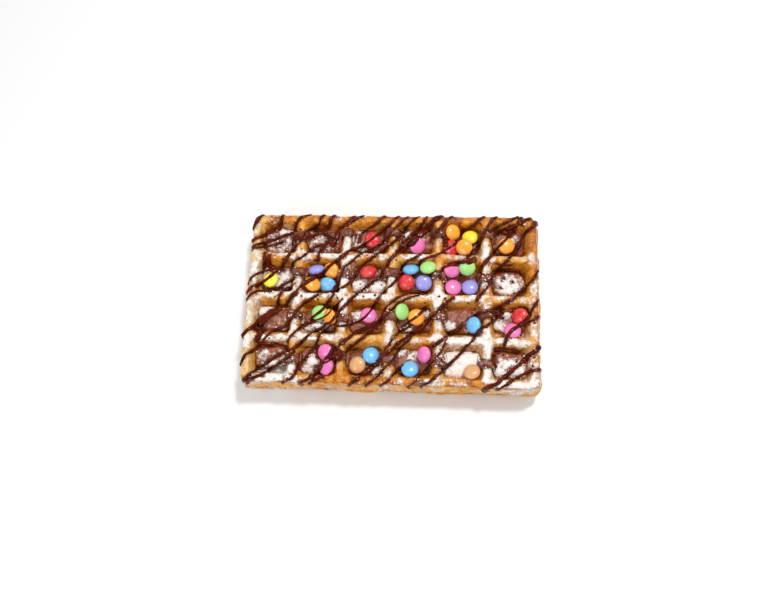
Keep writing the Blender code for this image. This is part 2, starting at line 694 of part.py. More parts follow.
def in_order(edge):
    """Shortest first, and edges of one length by their place."""
    middle = (edge.verts[0].co + edge.verts[1].co) / 2
    return (round(edge.calc_length(), 6), by_place(middle))


def shrink_short_edges(bm, longest):
    """One round over the edges shorter than this, leaving out those beside one already taken."""
    bm.normal_update()
    bm.verts.index_update()
    touched, merged = set(), {}
    short = [edge for edge in bm.edges if edge.calc_length() < longest]
    for edge in sorted(short, key=in_order):
        ring = {f for vert in edge.verts for f in vert.link_faces}
        if any(vert.index in touched for face in ring for vert in face.verts):
            continue
        middle = (edge.verts[0].co + edge.verts[1].co) / 2
        if not stays_closed(edge, middle):
            continue
        touched.update(vert.index for face in ring for vert in face.verts)
        edge.verts[1].co = middle
        merged[edge.verts[0]] = edge.verts[1]
    bmesh.ops.weld_verts(bm, targetmap=merged)
    return len(merged)


def drop_slivers(obj):
    """Shrinks the short edges that a union leaves where two surfaces cross."""
    bm = bmesh.new()
    bm.from_mesh(obj.data)
    bmesh.ops.triangulate(bm, faces=bm.faces)
    turn_doubled_edges(bm)
    while shrink_short_edges(bm, SHORT_EDGE):
        pass
    bm.to_mesh(obj.data)
    bm.free()


def fuse(target, pieces_collection):
    """Joins a collection's closed pieces to the target for good, and removes them."""
    join = target.modifiers.new("sauce", "BOOLEAN")
    join.operation = "UNION"
    join.operand_type = "COLLECTION"
    join.collection = pieces_collection
    join.solver = "MANIFOLD"
    bpy.context.view_layer.update()
    fused = mesh_of(target)
    target.modifiers.clear()
    target.data = fused
    for obj in list(pieces_collection.objects):
        bpy.data.objects.remove(obj)
    bpy.data.collections.remove(pieces_collection)
    drop_slivers(target)


def main():
    clear_scene()
    parts = collection("belgian_waffle")
    sauce = collection("sauce")
    waffle = make_waffle(parts)
    spreads = [make_spread(row, parts) for row in range(ROWS)]
    lentils = make_lentils(parts, [waffle, *spreads])
    crust = tree_of([waffle])
    toppings = tree_of(spreads + lentils)
    section = make_section(parts)
    for number, (width, places) in enumerate(STRANDS, 1):
        points = strand_points(number, width, places, crust, toppings)
        make_strand(number, width, points, section, sauce)
    bpy.data.objects.remove(section)
    fuse(waffle, sauce)


main()
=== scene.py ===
"""A Belgian waffle with bands of chocolate spread, sugar-shell lentils, strands of chocolate
sauce and a dusting of fine sugar, dressed over its solids. Metres, as the solids."""

import itertools
import math

import bpy
import numpy as np
from mathutils import Matrix, Vector
from mathutils.bvhtree import BVHTree
from mathutils.kdtree import KDTree


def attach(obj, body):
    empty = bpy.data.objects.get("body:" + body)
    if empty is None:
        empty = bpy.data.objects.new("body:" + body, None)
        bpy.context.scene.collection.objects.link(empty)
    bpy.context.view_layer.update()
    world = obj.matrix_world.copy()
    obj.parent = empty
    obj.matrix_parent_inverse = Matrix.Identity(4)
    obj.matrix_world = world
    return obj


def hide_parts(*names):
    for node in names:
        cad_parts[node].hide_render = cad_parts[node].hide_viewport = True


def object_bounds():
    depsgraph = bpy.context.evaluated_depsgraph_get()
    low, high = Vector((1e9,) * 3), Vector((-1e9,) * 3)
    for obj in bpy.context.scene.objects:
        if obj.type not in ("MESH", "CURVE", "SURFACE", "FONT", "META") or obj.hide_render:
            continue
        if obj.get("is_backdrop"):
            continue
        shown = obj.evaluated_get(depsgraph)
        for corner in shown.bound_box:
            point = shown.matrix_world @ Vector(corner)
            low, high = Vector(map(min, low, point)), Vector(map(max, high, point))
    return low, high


MM = 0.001

# the waffle, as its solid
COLUMNS, ROWS = 6, 4
COLUMN_PITCH, ROW_PITCH = 28.0 * MM, 25.1 * MM
THICKNESS = 25.0 * MM
MIDDLE = THICKNESS / 2
RIDGE_HALF = 2.1 * MM
RIM_SHIFT, RIM_EXTRA = 0.8 * MM, 2.4 * MM
CORNER_CUT = 4.2 * MM
SIDE_FLARE = 1.7 * MM
POCKET_DEPTH, POCKET_TAPER = 10.0 * MM, 3.1 * MM
HALF_LENGTH = COLUMN_PITCH * COLUMNS / 2 - RIM_SHIFT + RIM_EXTRA
HALF_WIDTH = ROW_PITCH * ROWS / 2 - RIM_SHIFT + RIM_EXTRA
CORNER_X, CORNER_Y = HALF_LENGTH - CORNER_CUT, HALF_WIDTH - CORNER_CUT
RIM_ROUND = 1.3 * MM

# places across half a cell in millimetres, from the middle of a ridge into the pocket
NEAR_RIDGE = (0, 0.6, 1.1, 1.5, 1.85, 2.2, 2.55, 2.9, 3.25, 3.6, 3.95, 4.3, 4.65, 5.0, 5.45)
FLOOR_STEP = 1.35 * MM
MOUTH_ROUND = 3.8 * MM  # height over which the wall turns into the ridge
FOOT_ROUND = 2.2 * MM
CORNER_ROUND = 2.2 * MM
SIDE_ROWS = 10
LIP = 0.7 * MM  # the ragged seam stands this much proud of the sides
LIP_SHARE = 0.10  # and takes up about this share of them
SEAM_GAP = 0.3 * MM  # the rows beside the seam end this much short of the middle
FLOOR_GAP = 0.02 * MM

# sugar, patch by patch: middle and half sizes in millimetres, and how thick it lies in percent
SUGAR_ON_CRUST = [
    (-74, 48, 4, 3, 30), (-66, 43, 4, 2.6, 80), (-35, 50, 3, 2, 40), (-80, 27, 6, 3, 60),
    (-71, 27, 4, 2, 40), (-58, 30, 4, 5, 50), (-55, 24, 7, 2.5, 65), (-42, 27, 6, 2.2, 80),
    (-34, 26, 4, 2, 70), (-27, 33, 3, 6, 75), (-26, 22, 5, 3, 85), (-21, 25, 4, 2, 60),
    (-12, 26, 4, 2, 50), (-6, 25, 4, 2.4, 60), (1, 33, 2.6, 5, 50), (14, 26, 6, 2, 85),
    (22, 27, 4, 2, 40), (27, 36, 3, 4, 60), (42, 26, 6, 2, 50), (55, 31, 3, 5, 75),
    (57, 26, 3, 3, 70), (65, 27, 3, 2, 40), (78, 26, 4, 2, 40), (57, 42, 3, 3, 40),
    (-83, 15, 2.6, 7, 85), (-83, 42, 2.6, 6, 30), (-80, 20, 2.4, 5, 70), (-84, 4, 3, 3, 50),
    (-72, 2, 7, 2.6, 85), (-60, 3, 5, 2.5, 90), (-56, 8, 3, 5, 65), (-48, 1.5, 7, 2.6, 85),
    (-36, 2.5, 7, 2.6, 90), (-28, 9, 3, 7, 85), (-27, 16, 3, 4, 60), (-18, 1.5, 6, 2.4, 90),
    (-9, 2, 6, 2.4, 90), (0, 8, 3, 6, 85), (-2, 1, 4, 3, 70), (9, -0.5, 5, 1.6, 60),
    (17, 1.5, 6, 1.8, 60), (28, 3, 5, 4, 85), (27, 13, 3, 4, 50), (38, 0, 5, 1.8, 60),
    (50, 1, 6, 2.6, 65), (56, 9, 3, 5, 75), (57, 18, 3, 4, 55), (64, 2, 4, 2, 60),
    (73, 1, 5, 2, 55), (80, -2, 4, 3, 40), (-82, -3, 3, 4, 65), (-78, -5, 3, 3, 70),
    (-83, -13, 2.6, 6, 50), (-57, -3, 4, 3, 70), (-57, -15, 3, 6, 65), (-53, -19, 3, 3, 70),
    (-28, -5, 3, 5, 80), (-27, -17, 3.5, 4, 60), (0, -9, 3, 5, 45), (1, -18, 3, 4, 75),
    (28, -3, 4, 3, 80), (30, -14, 3, 6, 70), (56, -20, 3, 5, 85), (57, -6, 4, 4, 50),
    (78, -20, 4, 3, 55), (82, -12, 3, 5, 35), (-84, -28, 3, 4, 80), (-80, -26, 4, 3, 60),
    (-72, -26, 4, 2.4, 80), (-63, -27, 5, 2.4, 70), (-55, -23, 4, 4, 70), (-46, -25, 6, 2.2, 65),
    (-35, -24.5, 5, 2, 55), (-27, -26, 4, 3, 45), (0, -24, 3, 4, 65), (13, -26, 5, 2, 40),
    (20, -25, 5, 2, 40), (29, -25, 6, 3, 85), (41, -25, 8, 2.6, 90), (52, -26, 5, 3.5, 80),
    (57, -30, 3, 5, 90), (67, -25, 6, 2.6, 75), (76, -26, 6, 2, 60), (83, -32, 3, 5, 45),
    (-84, -40, 3, 4, 35), (-57, -41, 2.8, 6, 80), (-70, -49.5, 12, 2.2, 75),
    (-55, -50, 6, 2.4, 80), (-45, -50, 4, 2, 50), (-28, -40, 3, 4, 25), (0, -44, 3, 4, 45),
    (5, -50, 4, 2, 40), (24, -50, 7, 2, 65), (29, -35, 3, 6, 85), (30, -45, 3, 4, 50),
    (40, -50, 5, 1.8, 40), (57, -43, 4, 7, 80), (64, -50, 6, 2.4, 85), (76, -50, 7, 2.6, 80),
    (83, -44, 3, 6, 75), (84, 8, 2.4, 5, 60), (83, 26, 2.4, 3, 50), (84, -20, 2.4, 4, 60),
    (40, -29, 8, 2.4, 80), (52, -36, 2.5, 6, 60), (79, -38, 2.4, 7, 80), (-72, -47, 8, 2.4, 80),
    (-80, 10, 2, 4, 60), (-79, -10, 2.4, 5, 70), (-34, -23, 4, 2, 60), (-66, 27, 3, 2, 60),
    (-50, 28, 4, 2, 70), (20, 28, 4, 1.6, 60), (34, 27, 4, 2, 50), (48, 27, 3, 2, 55),
    (-14, 28, 3, 1.6, 60), (-73, 45.5, 5, 1.6, 80), (-62, -45, 4, 2.4, 100),
    (-69, -44.6, 3, 1.6, 100), (-64, 5, 6, 1.6, 90), (-63, -42.5, 5, 2.6, 110),
    (-72, -42.5, 4, 2, 110), (-64, 8.5, 6, 2.6, 110), (-75.5, -7.6, 4, 2, 110),
    (-44, -17.6, 6, 2.4, 110), (-79, 12, 3, 4, 80),
]
SUGAR_ON_SPREAD = [
    (-65, 42.5, 4, 3, 125), (-72, 36, 7, 5, 60), (-62, 33, 4, 3, 55), (-44, 36, 8, 6, 56),
    (-58, 33, 3, 3, 60), (-10, 29.5, 4, 2, 90), (17, 37.5, 1.6, 2.4, 100), (-23, 34.5, 4, 4, 105),
    (-20, 43, 3, 2, 70), (-18, 30, 4, 2, 80), (10, 42, 3, 2, 110), (48, 29, 3, 2, 80),
    (72, 38, 3, 3, 85), (60, 31, 3, 3, 70), (-78, 17, 3, 4, 80), (-64, 13, 4, 4, 105),
    (-62, 8, 4, 2.4, 95), (-75, -8.5, 4, 3, 105), (-66, -16, 7, 4, 26), (-61, -20.5, 4, 2, 90),
    (-19, 7.5, 4, 3.6, 110), (-8, 7, 4, 3.6, 110), (69, 10, 7, 5.2, 90), (-19, -8, 4, 3.4, 110),
    (-43, -18, 7, 3, 105), (-50, -17, 3, 3, 80), (-31.5, -7, 2.6, 2, 80), (-20, -13, 2, 2, 40),
    (10.5, -18.6, 3, 3, 105), (34, -17, 4, 3.4, 110), (47, -20, 5, 2, 90),
    (63, -14.5, 3.6, 2.8, 100), (64, -17, 4, 3.4, 110), (67.4, -8.6, 2, 2.4, 100),
    (60, -5, 2.5, 2.5, 90), (20.5, -6.6, 3.5, 3.4, 110), (6.5, -30, 3, 2.5, 105),
    (-73, -35, 4, 3, 62), (-64, -36, 5, 4, 50), (-68, -44, 9, 3, 110), (-45, -38, 3, 3, 90),
    (-46.5, -44, 3.4, 2.6, 80), (-40, -32, 4, 3, 45), (-6, -43, 3, 3.4, 100),
    (16, -46, 4, 2.4, 65), (13, -33, 4, 3, 65), (36, -33, 7, 5, 115), (46, -36, 6, 7, 115),
    (37, -43, 7, 5, 115), (64, -44, 5, 5, 110), (73, -44, 7, 5, 110), (70, -37, 7, 3, 80),
    (-70, 30.5, 5, 2, 70), (-72, 14, 3, 2.4, 80), (-66, 8, 6, 2.4, 115), (-66, -41.5, 8, 2.2, 130),
    (-76, -8, 4, 2.4, 120), (-44, -17.6, 6, 2.4, 125), (-46, 30, 5, 2, 80),
]
LIGHT_DUST = 0.05
PATCH_REACH = 1.7  # patches fade out at this many half sizes

# lumps, each of (height in millimetres or as a share, size in millimetres, seed)
SUGAR_UNEVEN = (0.22, 1.6, 14)
FACE_WAVES_X = (0.50, 15, 1), (0.32, 5, 2)
FACE_WAVES_Y = (0.50, 15, 3), (0.32, 5, 4)
FACE_SAG = (0.30, 14, 5), (0.22, 4, 6)
MEAN_SAG = 0.52
RAGGED_SIDE, UNEVEN_LIP, SEAM_WAVES = (0.8, 9, 7), (0.5, 4, 8), (0.8, 22, 9)
CRUST_BUMPS = (0.16, 2.6, 21), (0.12, 1.2, 22)
SIDE_CRUMB = (0.34, 2.2, 23), (0.22, 1.1, 24)
SIDE_DUST = (0.30, 6, 25)
SUGAR_HEAPS = (0.26, 1.5, 26), (0.14, 0.8, 27)
BROWN_PARTS = (0.20, 13, 31), (0.15, 4, 32)
STAIN_REACH, STAIN_UNEVEN = (1.2, 3.2, 71), (0.5, 3, 72)

RELIEF = 0.5 * MM  # how far the bumps of the materials may stand up

CRUST_COLOURS = [
    (0.02, "#f3cd8c"), (0.25, "#eab05c"), (0.45, "#dc8f24"), (0.65, "#cb7809"),
    (0.82, "#a35a08"), (1.0, "#733a08"),
]
SUGAR_COLOURS = [(0.34, "#dccdbd"), (0.46, "#f3eae0"), (0.58, "#fffdfa")]
SPREAD_COLOURS = [(0.3, "#5a2309"), (0.5, "#8a4625"), (0.7, "#b17150")]
SHELL_COLOURS = {
    "red": "#da1019", "orange": "#ffa000", "yellow": "#ffe714", "green": "#a2e278",
    "blue": "#68bbf6", "purple": "#9794e4", "pink": "#f171b9", "tan": "#dda066",
}


def clamp01(values):
    return np.clip(values, 0.0, 1.0)


def smooth_least(a, b, blend):
    """The smaller of two, rounded where they meet."""
    near = np.maximum(blend - np.abs(a - b), 0) / blend
    return np.minimum(a, b) - near * near * blend / 4


def rough(points, size, seed):
    """Smooth lumps of about this size, from -1 to 1, at each point."""
    cells = points / size + seed * 17.31
    low = np.floor(cells).astype(np.int64)
    part = cells - low
    part = part * part * (3 - 2 * part)
    total = np.zeros(len(points))
    for corner in itertools.product((0, 1), repeat=3):
        where = low + np.array(corner)
        mixed = where[:, 0] * 73856093 ^ where[:, 1] * 19349663 ^ where[:, 2] * 83492791
        mixed = (mixed ^ (mixed >> 13)) * 1274126177 & 0xFFFFFFFF
        value = ((mixed ^ (mixed >> 16)) & 0xFFFF) / 32767.5 - 1
        total += value * np.prod(np.where(corner, part, 1 - part), axis=1)
    return total


def lumps(points, *layers):
    """Smooth lumps in layers, each of (height, size in millimetres, seed)."""
    return sum(height * rough(points, size * MM, seed) for height, size, seed in layers)


def flat_points(x, y):
    return np.stack([x, y, np.zeros_like(x)], axis=1)


# ---- meshes


def linked(name, data):
    """A new object of this data, in the scene."""
    made = bpy.data.objects.new(name, data)
    bpy.context.scene.collection.objects.link(made)
    return made


def settle(piece, slot, *nodes):
    """Lets a piece ride with the part, in place of these nodes of the solids."""
    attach(piece, "root")
    if nodes:
        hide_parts(*nodes)


def mesh_piece(name, places, faces, material, slot, *nodes):
    """A smooth piece that rides with the part, in place of these nodes."""
    mesh = bpy.data.meshes.new(name)
    mesh.from_pydata(np.asarray(places, float).tolist(), [], faces)
    mesh.shade_smooth()
    mesh.materials.append(material)
    piece = linked(name, mesh)
    settle(piece, slot, *nodes)
    return piece


def read_rows(rows, label):
    """What each vertex keeps under this label, as rows of three numbers."""
    found = np.empty(len(rows) * 3)
    rows.foreach_get(label, found)
    return found.reshape(-1, 3)


def places_of(mesh):
    return read_rows(mesh.vertices, "co")


def normals_of(mesh):
    return read_rows(mesh.vertex_normals, "vector")


def set_places(mesh, places):
    mesh.vertices.foreach_set("co", places.ravel())
    mesh.update()


def paint(mesh, name, values):
    """Keeps a value for each vertex, for the materials to read."""
    layer = mesh.attributes.new(name, "FLOAT", "POINT")
    layer.data.foreach_set("value", clamp01(values).astype(np.float32))


def surface_of(*pieces):
    """One search tree over the surfaces of these pieces."""
    places, faces, base = [], [], 0
    for piece in pieces:
        found = places_of(piece.data)
        places += [Vector(p) for p in found]
        faces += [[base + v for v in polygon.vertices] for polygon in piece.data.polygons]
        base += len(found)
    return BVHTree.FromPolygons(places, faces)


def look_down(tree, x, y):
    """What a ray from above meets first: (place, the way it faces, ...)."""
    return tree.ray_cast(Vector((x, y, 2 * THICKNESS)), Vector((0, 0, -1)))


def height_over(tree, x, y):
    place = look_down(tree, x, y)[0]
    return place.z if place else THICKNESS


# ---- sugar


def sugar_at(places, ups, patches, least):
    """How thick the sugar lies at each place, from 0 to 1; it falls from above."""
    x, y = places[:, 0], places[:, 1]
    flat = flat_points(x, y)
    x, y = (values + MM * lumps(flat, (1.5, 3.5, seed)) for values, seed in ((x, 11), (y, 12)))
    thick = np.zeros(len(places))
    for mid_x, mid_y, half_x, half_y, percent in patches:
        off = np.hypot((x / MM - mid_x) / half_x, (y / MM - mid_y) / half_y)
        thick = np.maximum(thick, percent / 100 * clamp01(PATCH_REACH - off))
    thick = np.maximum(thick, least * (1 + lumps(flat, (1, 9, 13))))
    thick += lumps(places, SUGAR_UNEVEN) * clamp01(thick * 2)
    return clamp01(thick) * clamp01(ups * 1.3 + 0.05)


# ---- the waffle


def ridge_lines(count, pitch):
    lines = [(i - count / 2) * pitch for i in range(count + 1)]
    lines[0] += RIM_SHIFT
    lines[-1] -= RIM_SHIFT
    return lines


def lines_across(count, pitch, half):
    """The mesh's lines in one direction, close together where the walls are."""
    ridges = ridge_lines(count, pitch)
    near = np.array(NEAR_RIDGE) * MM
    found = [half - RIM_ROUND, half - RIM_ROUND - 0.55 * MM]
    found += [-value for value in found]
    for low, high in zip(ridges, ridges[1:]):
        steps = max(3, round((high - low - 2 * near[-1]) / FLOOR_STEP))
        found += list(low + near) + list(high - near)
        found += list(np.linspace(low + near[-1], high - near[-1], steps + 1)[1:-1])
    found = sorted(found)
    return np.array([a for a, b in zip(found, found[1:] + [1.0]) if b - a > 0.1 * MM])


def depth_below_face(x, y):
    """How far the pockets go down at each place of a face."""
    offs = []
    for values, count, pitch in ((x, COLUMNS, COLUMN_PITCH), (y, ROWS, ROW_PITCH)):
        ridges = np.array(ridge_lines(count, pitch))
        cell = np.clip(np.searchsorted(ridges, values) - 1, 0, count - 1)
        offs.append(np.minimum(values - ridges[cell], ridges[cell + 1] - values))
    inside = smooth_least(offs[0], offs[1], CORNER_ROUND) - RIDGE_HALF
    slope = POCKET_DEPTH / POCKET_TAPER
    down = -smooth_least(-inside * slope, 0, MOUTH_ROUND)
    return smooth_least(down, POCKET_DEPTH, FOOT_ROUND)


def round_corners(x, y):
    """Moves the places near the square corners of the grid onto round ones."""
    across = CORNER_CUT - RIM_ROUND
    u = clamp01((np.abs(x) - CORNER_X) / across)
    v = clamp01((np.abs(y) - CORNER_Y) / across)
    both = (u > 0) & (v > 0)
    round_x = CORNER_X + across * u * np.sqrt(1 - v * v / 2)
    round_y = CORNER_Y + across * v * np.sqrt(1 - u * u / 2)
    round_x, round_y = np.copysign(round_x, x), np.copysign(round_y, y)
    return np.where(both, round_x, x), np.where(both, round_y, y)


def way_out(x, y):
    """The outward way in plan at each place of the rim."""
    over_x, over_y = np.abs(x) - CORNER_X, np.abs(y) - CORNER_Y
    at_corner = (over_x > 0) & (over_y > 0)
    long_side = np.abs(x) / HALF_LENGTH < np.abs(y) / HALF_WIDTH
    out_x = np.where(at_corner, over_x, np.where(long_side, 0.0, 1.0))
    out_y = np.where(at_corner, over_y, np.where(long_side, 1.0, 0.0))
    size = np.hypot(out_x, out_y)
    return np.copysign(out_x / size, x), np.copysign(out_y / size, y)


def side_profile():
    """(out, down, share of the way) of each row of the side, from the rim to the seam."""
    rows = []
    for angle in (30, 60, 90):
        turn = math.radians(angle)
        rows.append((RIM_ROUND * math.sin(turn), RIM_ROUND * (1 - math.cos(turn)), 0.0))
    for step in range(1, SIDE_ROWS + 1):
        share = step / SIDE_ROWS
        down = RIM_ROUND + share * (MIDDLE - RIM_ROUND)
        rows.append((RIM_ROUND + share * SIDE_FLARE, down, share))
    return rows


def waffle_arrays():
    """The places and faces of the whole waffle: face, sides, lower face."""
    xs = lines_across(COLUMNS, COLUMN_PITCH, HALF_LENGTH)
    ys = lines_across(ROWS, ROW_PITCH, HALF_WIDTH)
    grid_x, grid_y = (g.ravel() for g in np.meshgrid(xs, ys, indexing="ij"))
    depth = depth_below_face(grid_x, grid_y)
    x, y = round_corners(grid_x, grid_y)
    flat = flat_points(x, y)
    waved_x = x + MM * lumps(flat, *FACE_WAVES_X)
    waved_y = y + MM * lumps(flat, *FACE_WAVES_Y)
    sag = MM * (MEAN_SAG + lumps(flat, *FACE_SAG))
    top = np.stack([waved_x, waved_y, THICKNESS - depth - sag], axis=1)
    under = np.stack([waved_x, waved_y, depth + 0.6 * sag], axis=1)
    nx, ny = len(xs), len(ys)
    index = np.arange(nx * ny).reshape(nx, ny)
    quads = np.stack(
        [index[:-1, :-1], index[1:, :-1], index[1:, 1:], index[:-1, 1:]], axis=-1
    ).reshape(-1, 4)
    ring = np.concatenate([index[:-1, 0], index[-1, :-1], index[:0:-1, -1], index[0, :0:-1]])
    outward = flat_points(*way_out(x[ring], y[ring]))
    base = flat_points(waved_x[ring], waved_y[ring])
    lip = LIP * (0.6 + lumps(base, UNEVEN_LIP))
    rows = []
    for face_of, sign in ((top, -1), (under, 1)):
        made = []
        for out, down, share in side_profile():
            ragged = share * MM * lumps(base, RAGGED_SIDE) * (0.4 + 0.6 * share)
            proud = lip * math.exp(-(((1 - share) / LIP_SHARE) ** 2))
            row = base + outward * (out + ragged + proud)[:, None]
            row[:, 2] = face_of[ring, 2] + sign * down * (1 - SEAM_GAP / MIDDLE)
            if share == 1:
                row[:, 2] = MIDDLE + MM * lumps(base, SEAM_WAVES)
            made.append(row)
        rows.append(made)
    side = rows[0] + rows[1][-2::-1]
    count, start = len(ring), 2 * nx * ny
    rings = [ring] + [start + k * count + np.arange(count) for k in range(len(side))]
    rings.append(nx * ny + ring)
    faces = [quads, (nx * ny + quads)[:, ::-1]]
    for upper, lower in zip(rings, rings[1:]):
        turned = np.roll(upper, -1), np.roll(lower, -1)
        faces.append(np.stack([upper, lower, turned[1], turned[0]], axis=1))
    return np.concatenate([top, under, *side]), np.concatenate(faces)


def bake_waffle(material):
    """The waffle's crust, uneven, with its toasted colour, partly painted shade, and its sugar
    painted on it.
    """
    places, faces = waffle_arrays()
    piece = mesh_piece("baked_waffle", places, faces.tolist(), material, "waffle_crust", "waffle")
    mesh = piece.data
    normals = normals_of(mesh)
    steep = clamp01(1.6 - 3 * np.abs(normals[:, 2]))
    side = steep * (np.abs(places[:, 0]) > HALF_LENGTH - MM)
    side = clamp01(side + steep * (np.abs(places[:, 1]) > HALF_WIDTH - MM))
    bumps = lumps(places, *CRUST_BUMPS)
    crumb = lumps(places, *SIDE_CRUMB)
    places = places + normals * ((bumps + side * crumb) * MM)[:, None]
    sugar = sugar_at(places, normals[:, 2], SUGAR_ON_CRUST, LIGHT_DUST)
    sugar = sugar * (places[:, 2] > MIDDLE)
    ends = clamp01((np.abs(places[:, 0]) - 45 * MM) / (30 * MM))
    sugar = np.maximum(sugar, side * (0.19 + 0.22 * ends + lumps(places, SIDE_DUST)))
    heaps = 0.30 + lumps(places, *SUGAR_HEAPS)
    places = places + normals * (heaps * MM * sugar * (1 - side))[:, None]
    places[:, 2] = np.maximum(places[:, 2], FLOOR_GAP)
    set_places(mesh, places)
    paint(mesh, "sugar", sugar)
    # the toasted colour, with painted shade on the walls and in the pockets
    paint(mesh, "bake_and_shade", browning_and_shade(places, normals, side))
    return piece


def browning_and_shade(places, normals, side):
    """How dark the crust is: walls and rims more than floors and the crumbly sides; rims and
    patches from baking, the darker walls and deep pockets partly painted shade.
    """
    ups = np.abs(normals[:, 2])
    face_gap = np.minimum(places[:, 2], THICKNESS - places[:, 2])
    rim = clamp01((np.abs(places[:, 1]) - HALF_WIDTH + 5.5 * MM) / (3 * MM))
    rim = np.maximum(rim, clamp01((places[:, 0] - HALF_LENGTH + 5 * MM) / (3 * MM)))
    left = clamp01((10 * MM - HALF_LENGTH - places[:, 0]) / (4 * MM))
    brown_and_shade = 0.40 + lumps(places, *BROWN_PARTS)
    # steep walls darker, and pocket floors darker the deeper they lie: partly toasting, partly
    # painted shade; the crumbly sides paler, the rims browner
    brown_and_shade += 0.14 * clamp01(1.2 - ups) - 0.14 * side * clamp01(face_gap / (4 * MM))
    brown_and_shade += (1 - side) * (0.06 * clamp01(face_gap / POCKET_DEPTH) + 0.25 * rim - 0.22 * left)
    return brown_and_shade


# ---- materials


def linear(code):
    """A colour from its six hexadecimal digits."""
    parts = [int(code[i:i + 2], 16) / 255 for i in (1, 3, 5)]
    parts = [p / 12.92 if p <= 0.04045 else ((p + 0.055) / 1.055) ** 2.4 for p in parts]
    return (*parts, 1.0)


def add_node(tree, kind, **settings):
    made = tree.nodes.new("ShaderNode" + kind)
    for key, value in settings.items():
        setattr(made, key, value)
    return made


def feed(tree, value, socket):
    """Links the socket to another one, or sets it to a fixed value."""
    if isinstance(value, (int, float, tuple)):
        socket.default_value = value
    else:
        tree.links.new(value, socket)


def feed_all(tree, node, **values):
    """Feeds the inputs of a node by their labels."""
    for label, value in values.items():
        feed(tree, value, node.inputs[label.replace("_", " ")])


def noise_node(tree, scale, detail, roughness):
    """Noise of this many waves a metre, in the part's own space."""
    made, place = add_node(tree, "TexNoise"), add_node(tree, "TexCoord").outputs["Object"]
    feed_all(tree, made, Scale=scale, Detail=detail, Roughness=roughness, Vector=place)
    return made.outputs["Fac"]


def math_node(tree, operation, *values, clamp=False):
    made = add_node(tree, "Math", operation=operation, use_clamp=clamp)
    for value, socket in zip(values, made.inputs):
        feed(tree, value, socket)
    return made.outputs[0]


def weighed(tree, total, *parts, clamp=False):
    """A first value plus others, each given as (weight, value)."""
    for number, (weight, value) in enumerate(parts, 1):
        last = clamp and number == len(parts)
        total = math_node(tree, "MULTIPLY_ADD", value, weight, total, clamp=last)
    return total


def mix_node(tree, share, first, second):
    """A mix of two colours, each a socket or a fixed colour."""
    made = add_node(tree, "Mix", data_type="RGBA", blend_type="MIX")
    for number, value in ((0, share), (6, first), (7, second)):
        feed(tree, value, made.inputs[number])
    return made.outputs[2]


def ramp_node(tree, share, stops):
    """A colour that changes with the share, from stops of (place, colour)."""
    made = add_node(tree, "ValToRGB")
    ramp = made.color_ramp
    while len(ramp.elements) < len(stops):
        ramp.elements.new(0.5)
    for element, (place, colour) in zip(ramp.elements, stops):
        element.position = place
        element.color = colour if isinstance(colour, tuple) else linear(colour)
    tree.links.new(share, made.inputs[0])
    return made.outputs[0]


def dusting_group():
    """Fine sugar over another finish: colour, roughness and height from how thick it lies."""
    group = bpy.data.node_groups.new("fine sugar", "ShaderNodeTree")
    labels = ("Colour", "Roughness", "Height", "Thickness")
    for way, named in (("INPUT", labels), ("OUTPUT", labels[:3])):
        for label in named:
            kind = "NodeSocketColor" if label == "Colour" else "NodeSocketFloat"
            group.interface.new_socket(name=label, in_out=way, socket_type=kind)
    given = group.nodes.new("NodeGroupInput").outputs
    grain, clumps = noise_node(group, 2200, 3, 0.7), noise_node(group, 420, 4, 0.65)
    spots = ((1.8, grain), (4.2, clumps), (2.5, given["Thickness"]))
    cover = weighed(group, -3.62, *spots, clamp=True)
    white = ramp_node(group, weighed(group, 0.0, (0.5, grain), (0.5, clumps)), SUGAR_COLOURS)
    veil = weighed(group, 0.0, (0.97, cover))
    raised = math_node(group, "MULTIPLY", cover, weighed(group, 0.6, (1.0, grain)))
    feed_all(
        group, group.nodes.new("NodeGroupOutput"),
        Colour=mix_node(group, veil, given["Colour"], white),
        Roughness=weighed(group, given["Roughness"], (0.5, cover), clamp=True),
        Height=weighed(group, given["Height"], (1.0, raised)),
    )
    return group


def new_material(name, **values):
    """A material with its Principled shader's own values set."""
    made = bpy.data.materials.new(name)
    made.use_nodes = True
    shader = made.node_tree.nodes["Principled BSDF"]
    feed_all(made.node_tree, shader, **values)
    return made, made.node_tree, shader


def attribute(tree, name):
    made = add_node(tree, "Attribute", attribute_name=name)
    return made.outputs["Fac"]


def raise_relief(tree, shader, height, strength, distance=RELIEF):
    """Fine relief from a height."""
    relief = add_node(tree, "Bump")
    feed_all(tree, relief, Strength=strength, Distance=distance, Height=height)
    feed_all(tree, shader, Normal=relief.outputs["Normal"])


def finish_surface(tree, shader, dust, relief, **values):
    """Feeds colour, roughness and height through the sugar into the shader."""
    layer = add_node(tree, "Group", node_tree=dust)
    feed_all(tree, layer, **values)
    colour, roughness, height = layer.outputs
    feed_all(tree, shader, Base_Color=colour, Roughness=roughness)
    raise_relief(tree, shader, height, *relief)


def crust_material(dust):
    made, tree, shader = new_material("baked crust", Specular_IOR_Level=0.35)
    streaks, pores = noise_node(tree, 260, 5, 0.65), noise_node(tree, 1100, 4, 0.65)
    # the toasted colour, darker on the walls and in the pockets partly as painted shade
    brown_and_shade = weighed(tree, -1.4, (1.0, attribute(tree, "bake_and_shade")), (1.5, streaks), (1.3, pores))
    blotches = weighed(tree, -0.952, (3.4, streaks))
    stained = math_node(tree, "MULTIPLY", attribute(tree, "stain"), blotches, clamp=True)
    baked_and_shaded = ramp_node(tree, brown_and_shade, CRUST_COLOURS)
    finish_surface(
        tree, shader, dust, (0.7,), Roughness=0.48, Height=weighed(tree, streaks, (0.8, pores)),
        Colour=mix_node(tree, stained, baked_and_shaded, linear("#5c2207")),
        Thickness=weighed(tree, attribute(tree, "sugar"), (-0.5, stained), clamp=True),
    )
    return made


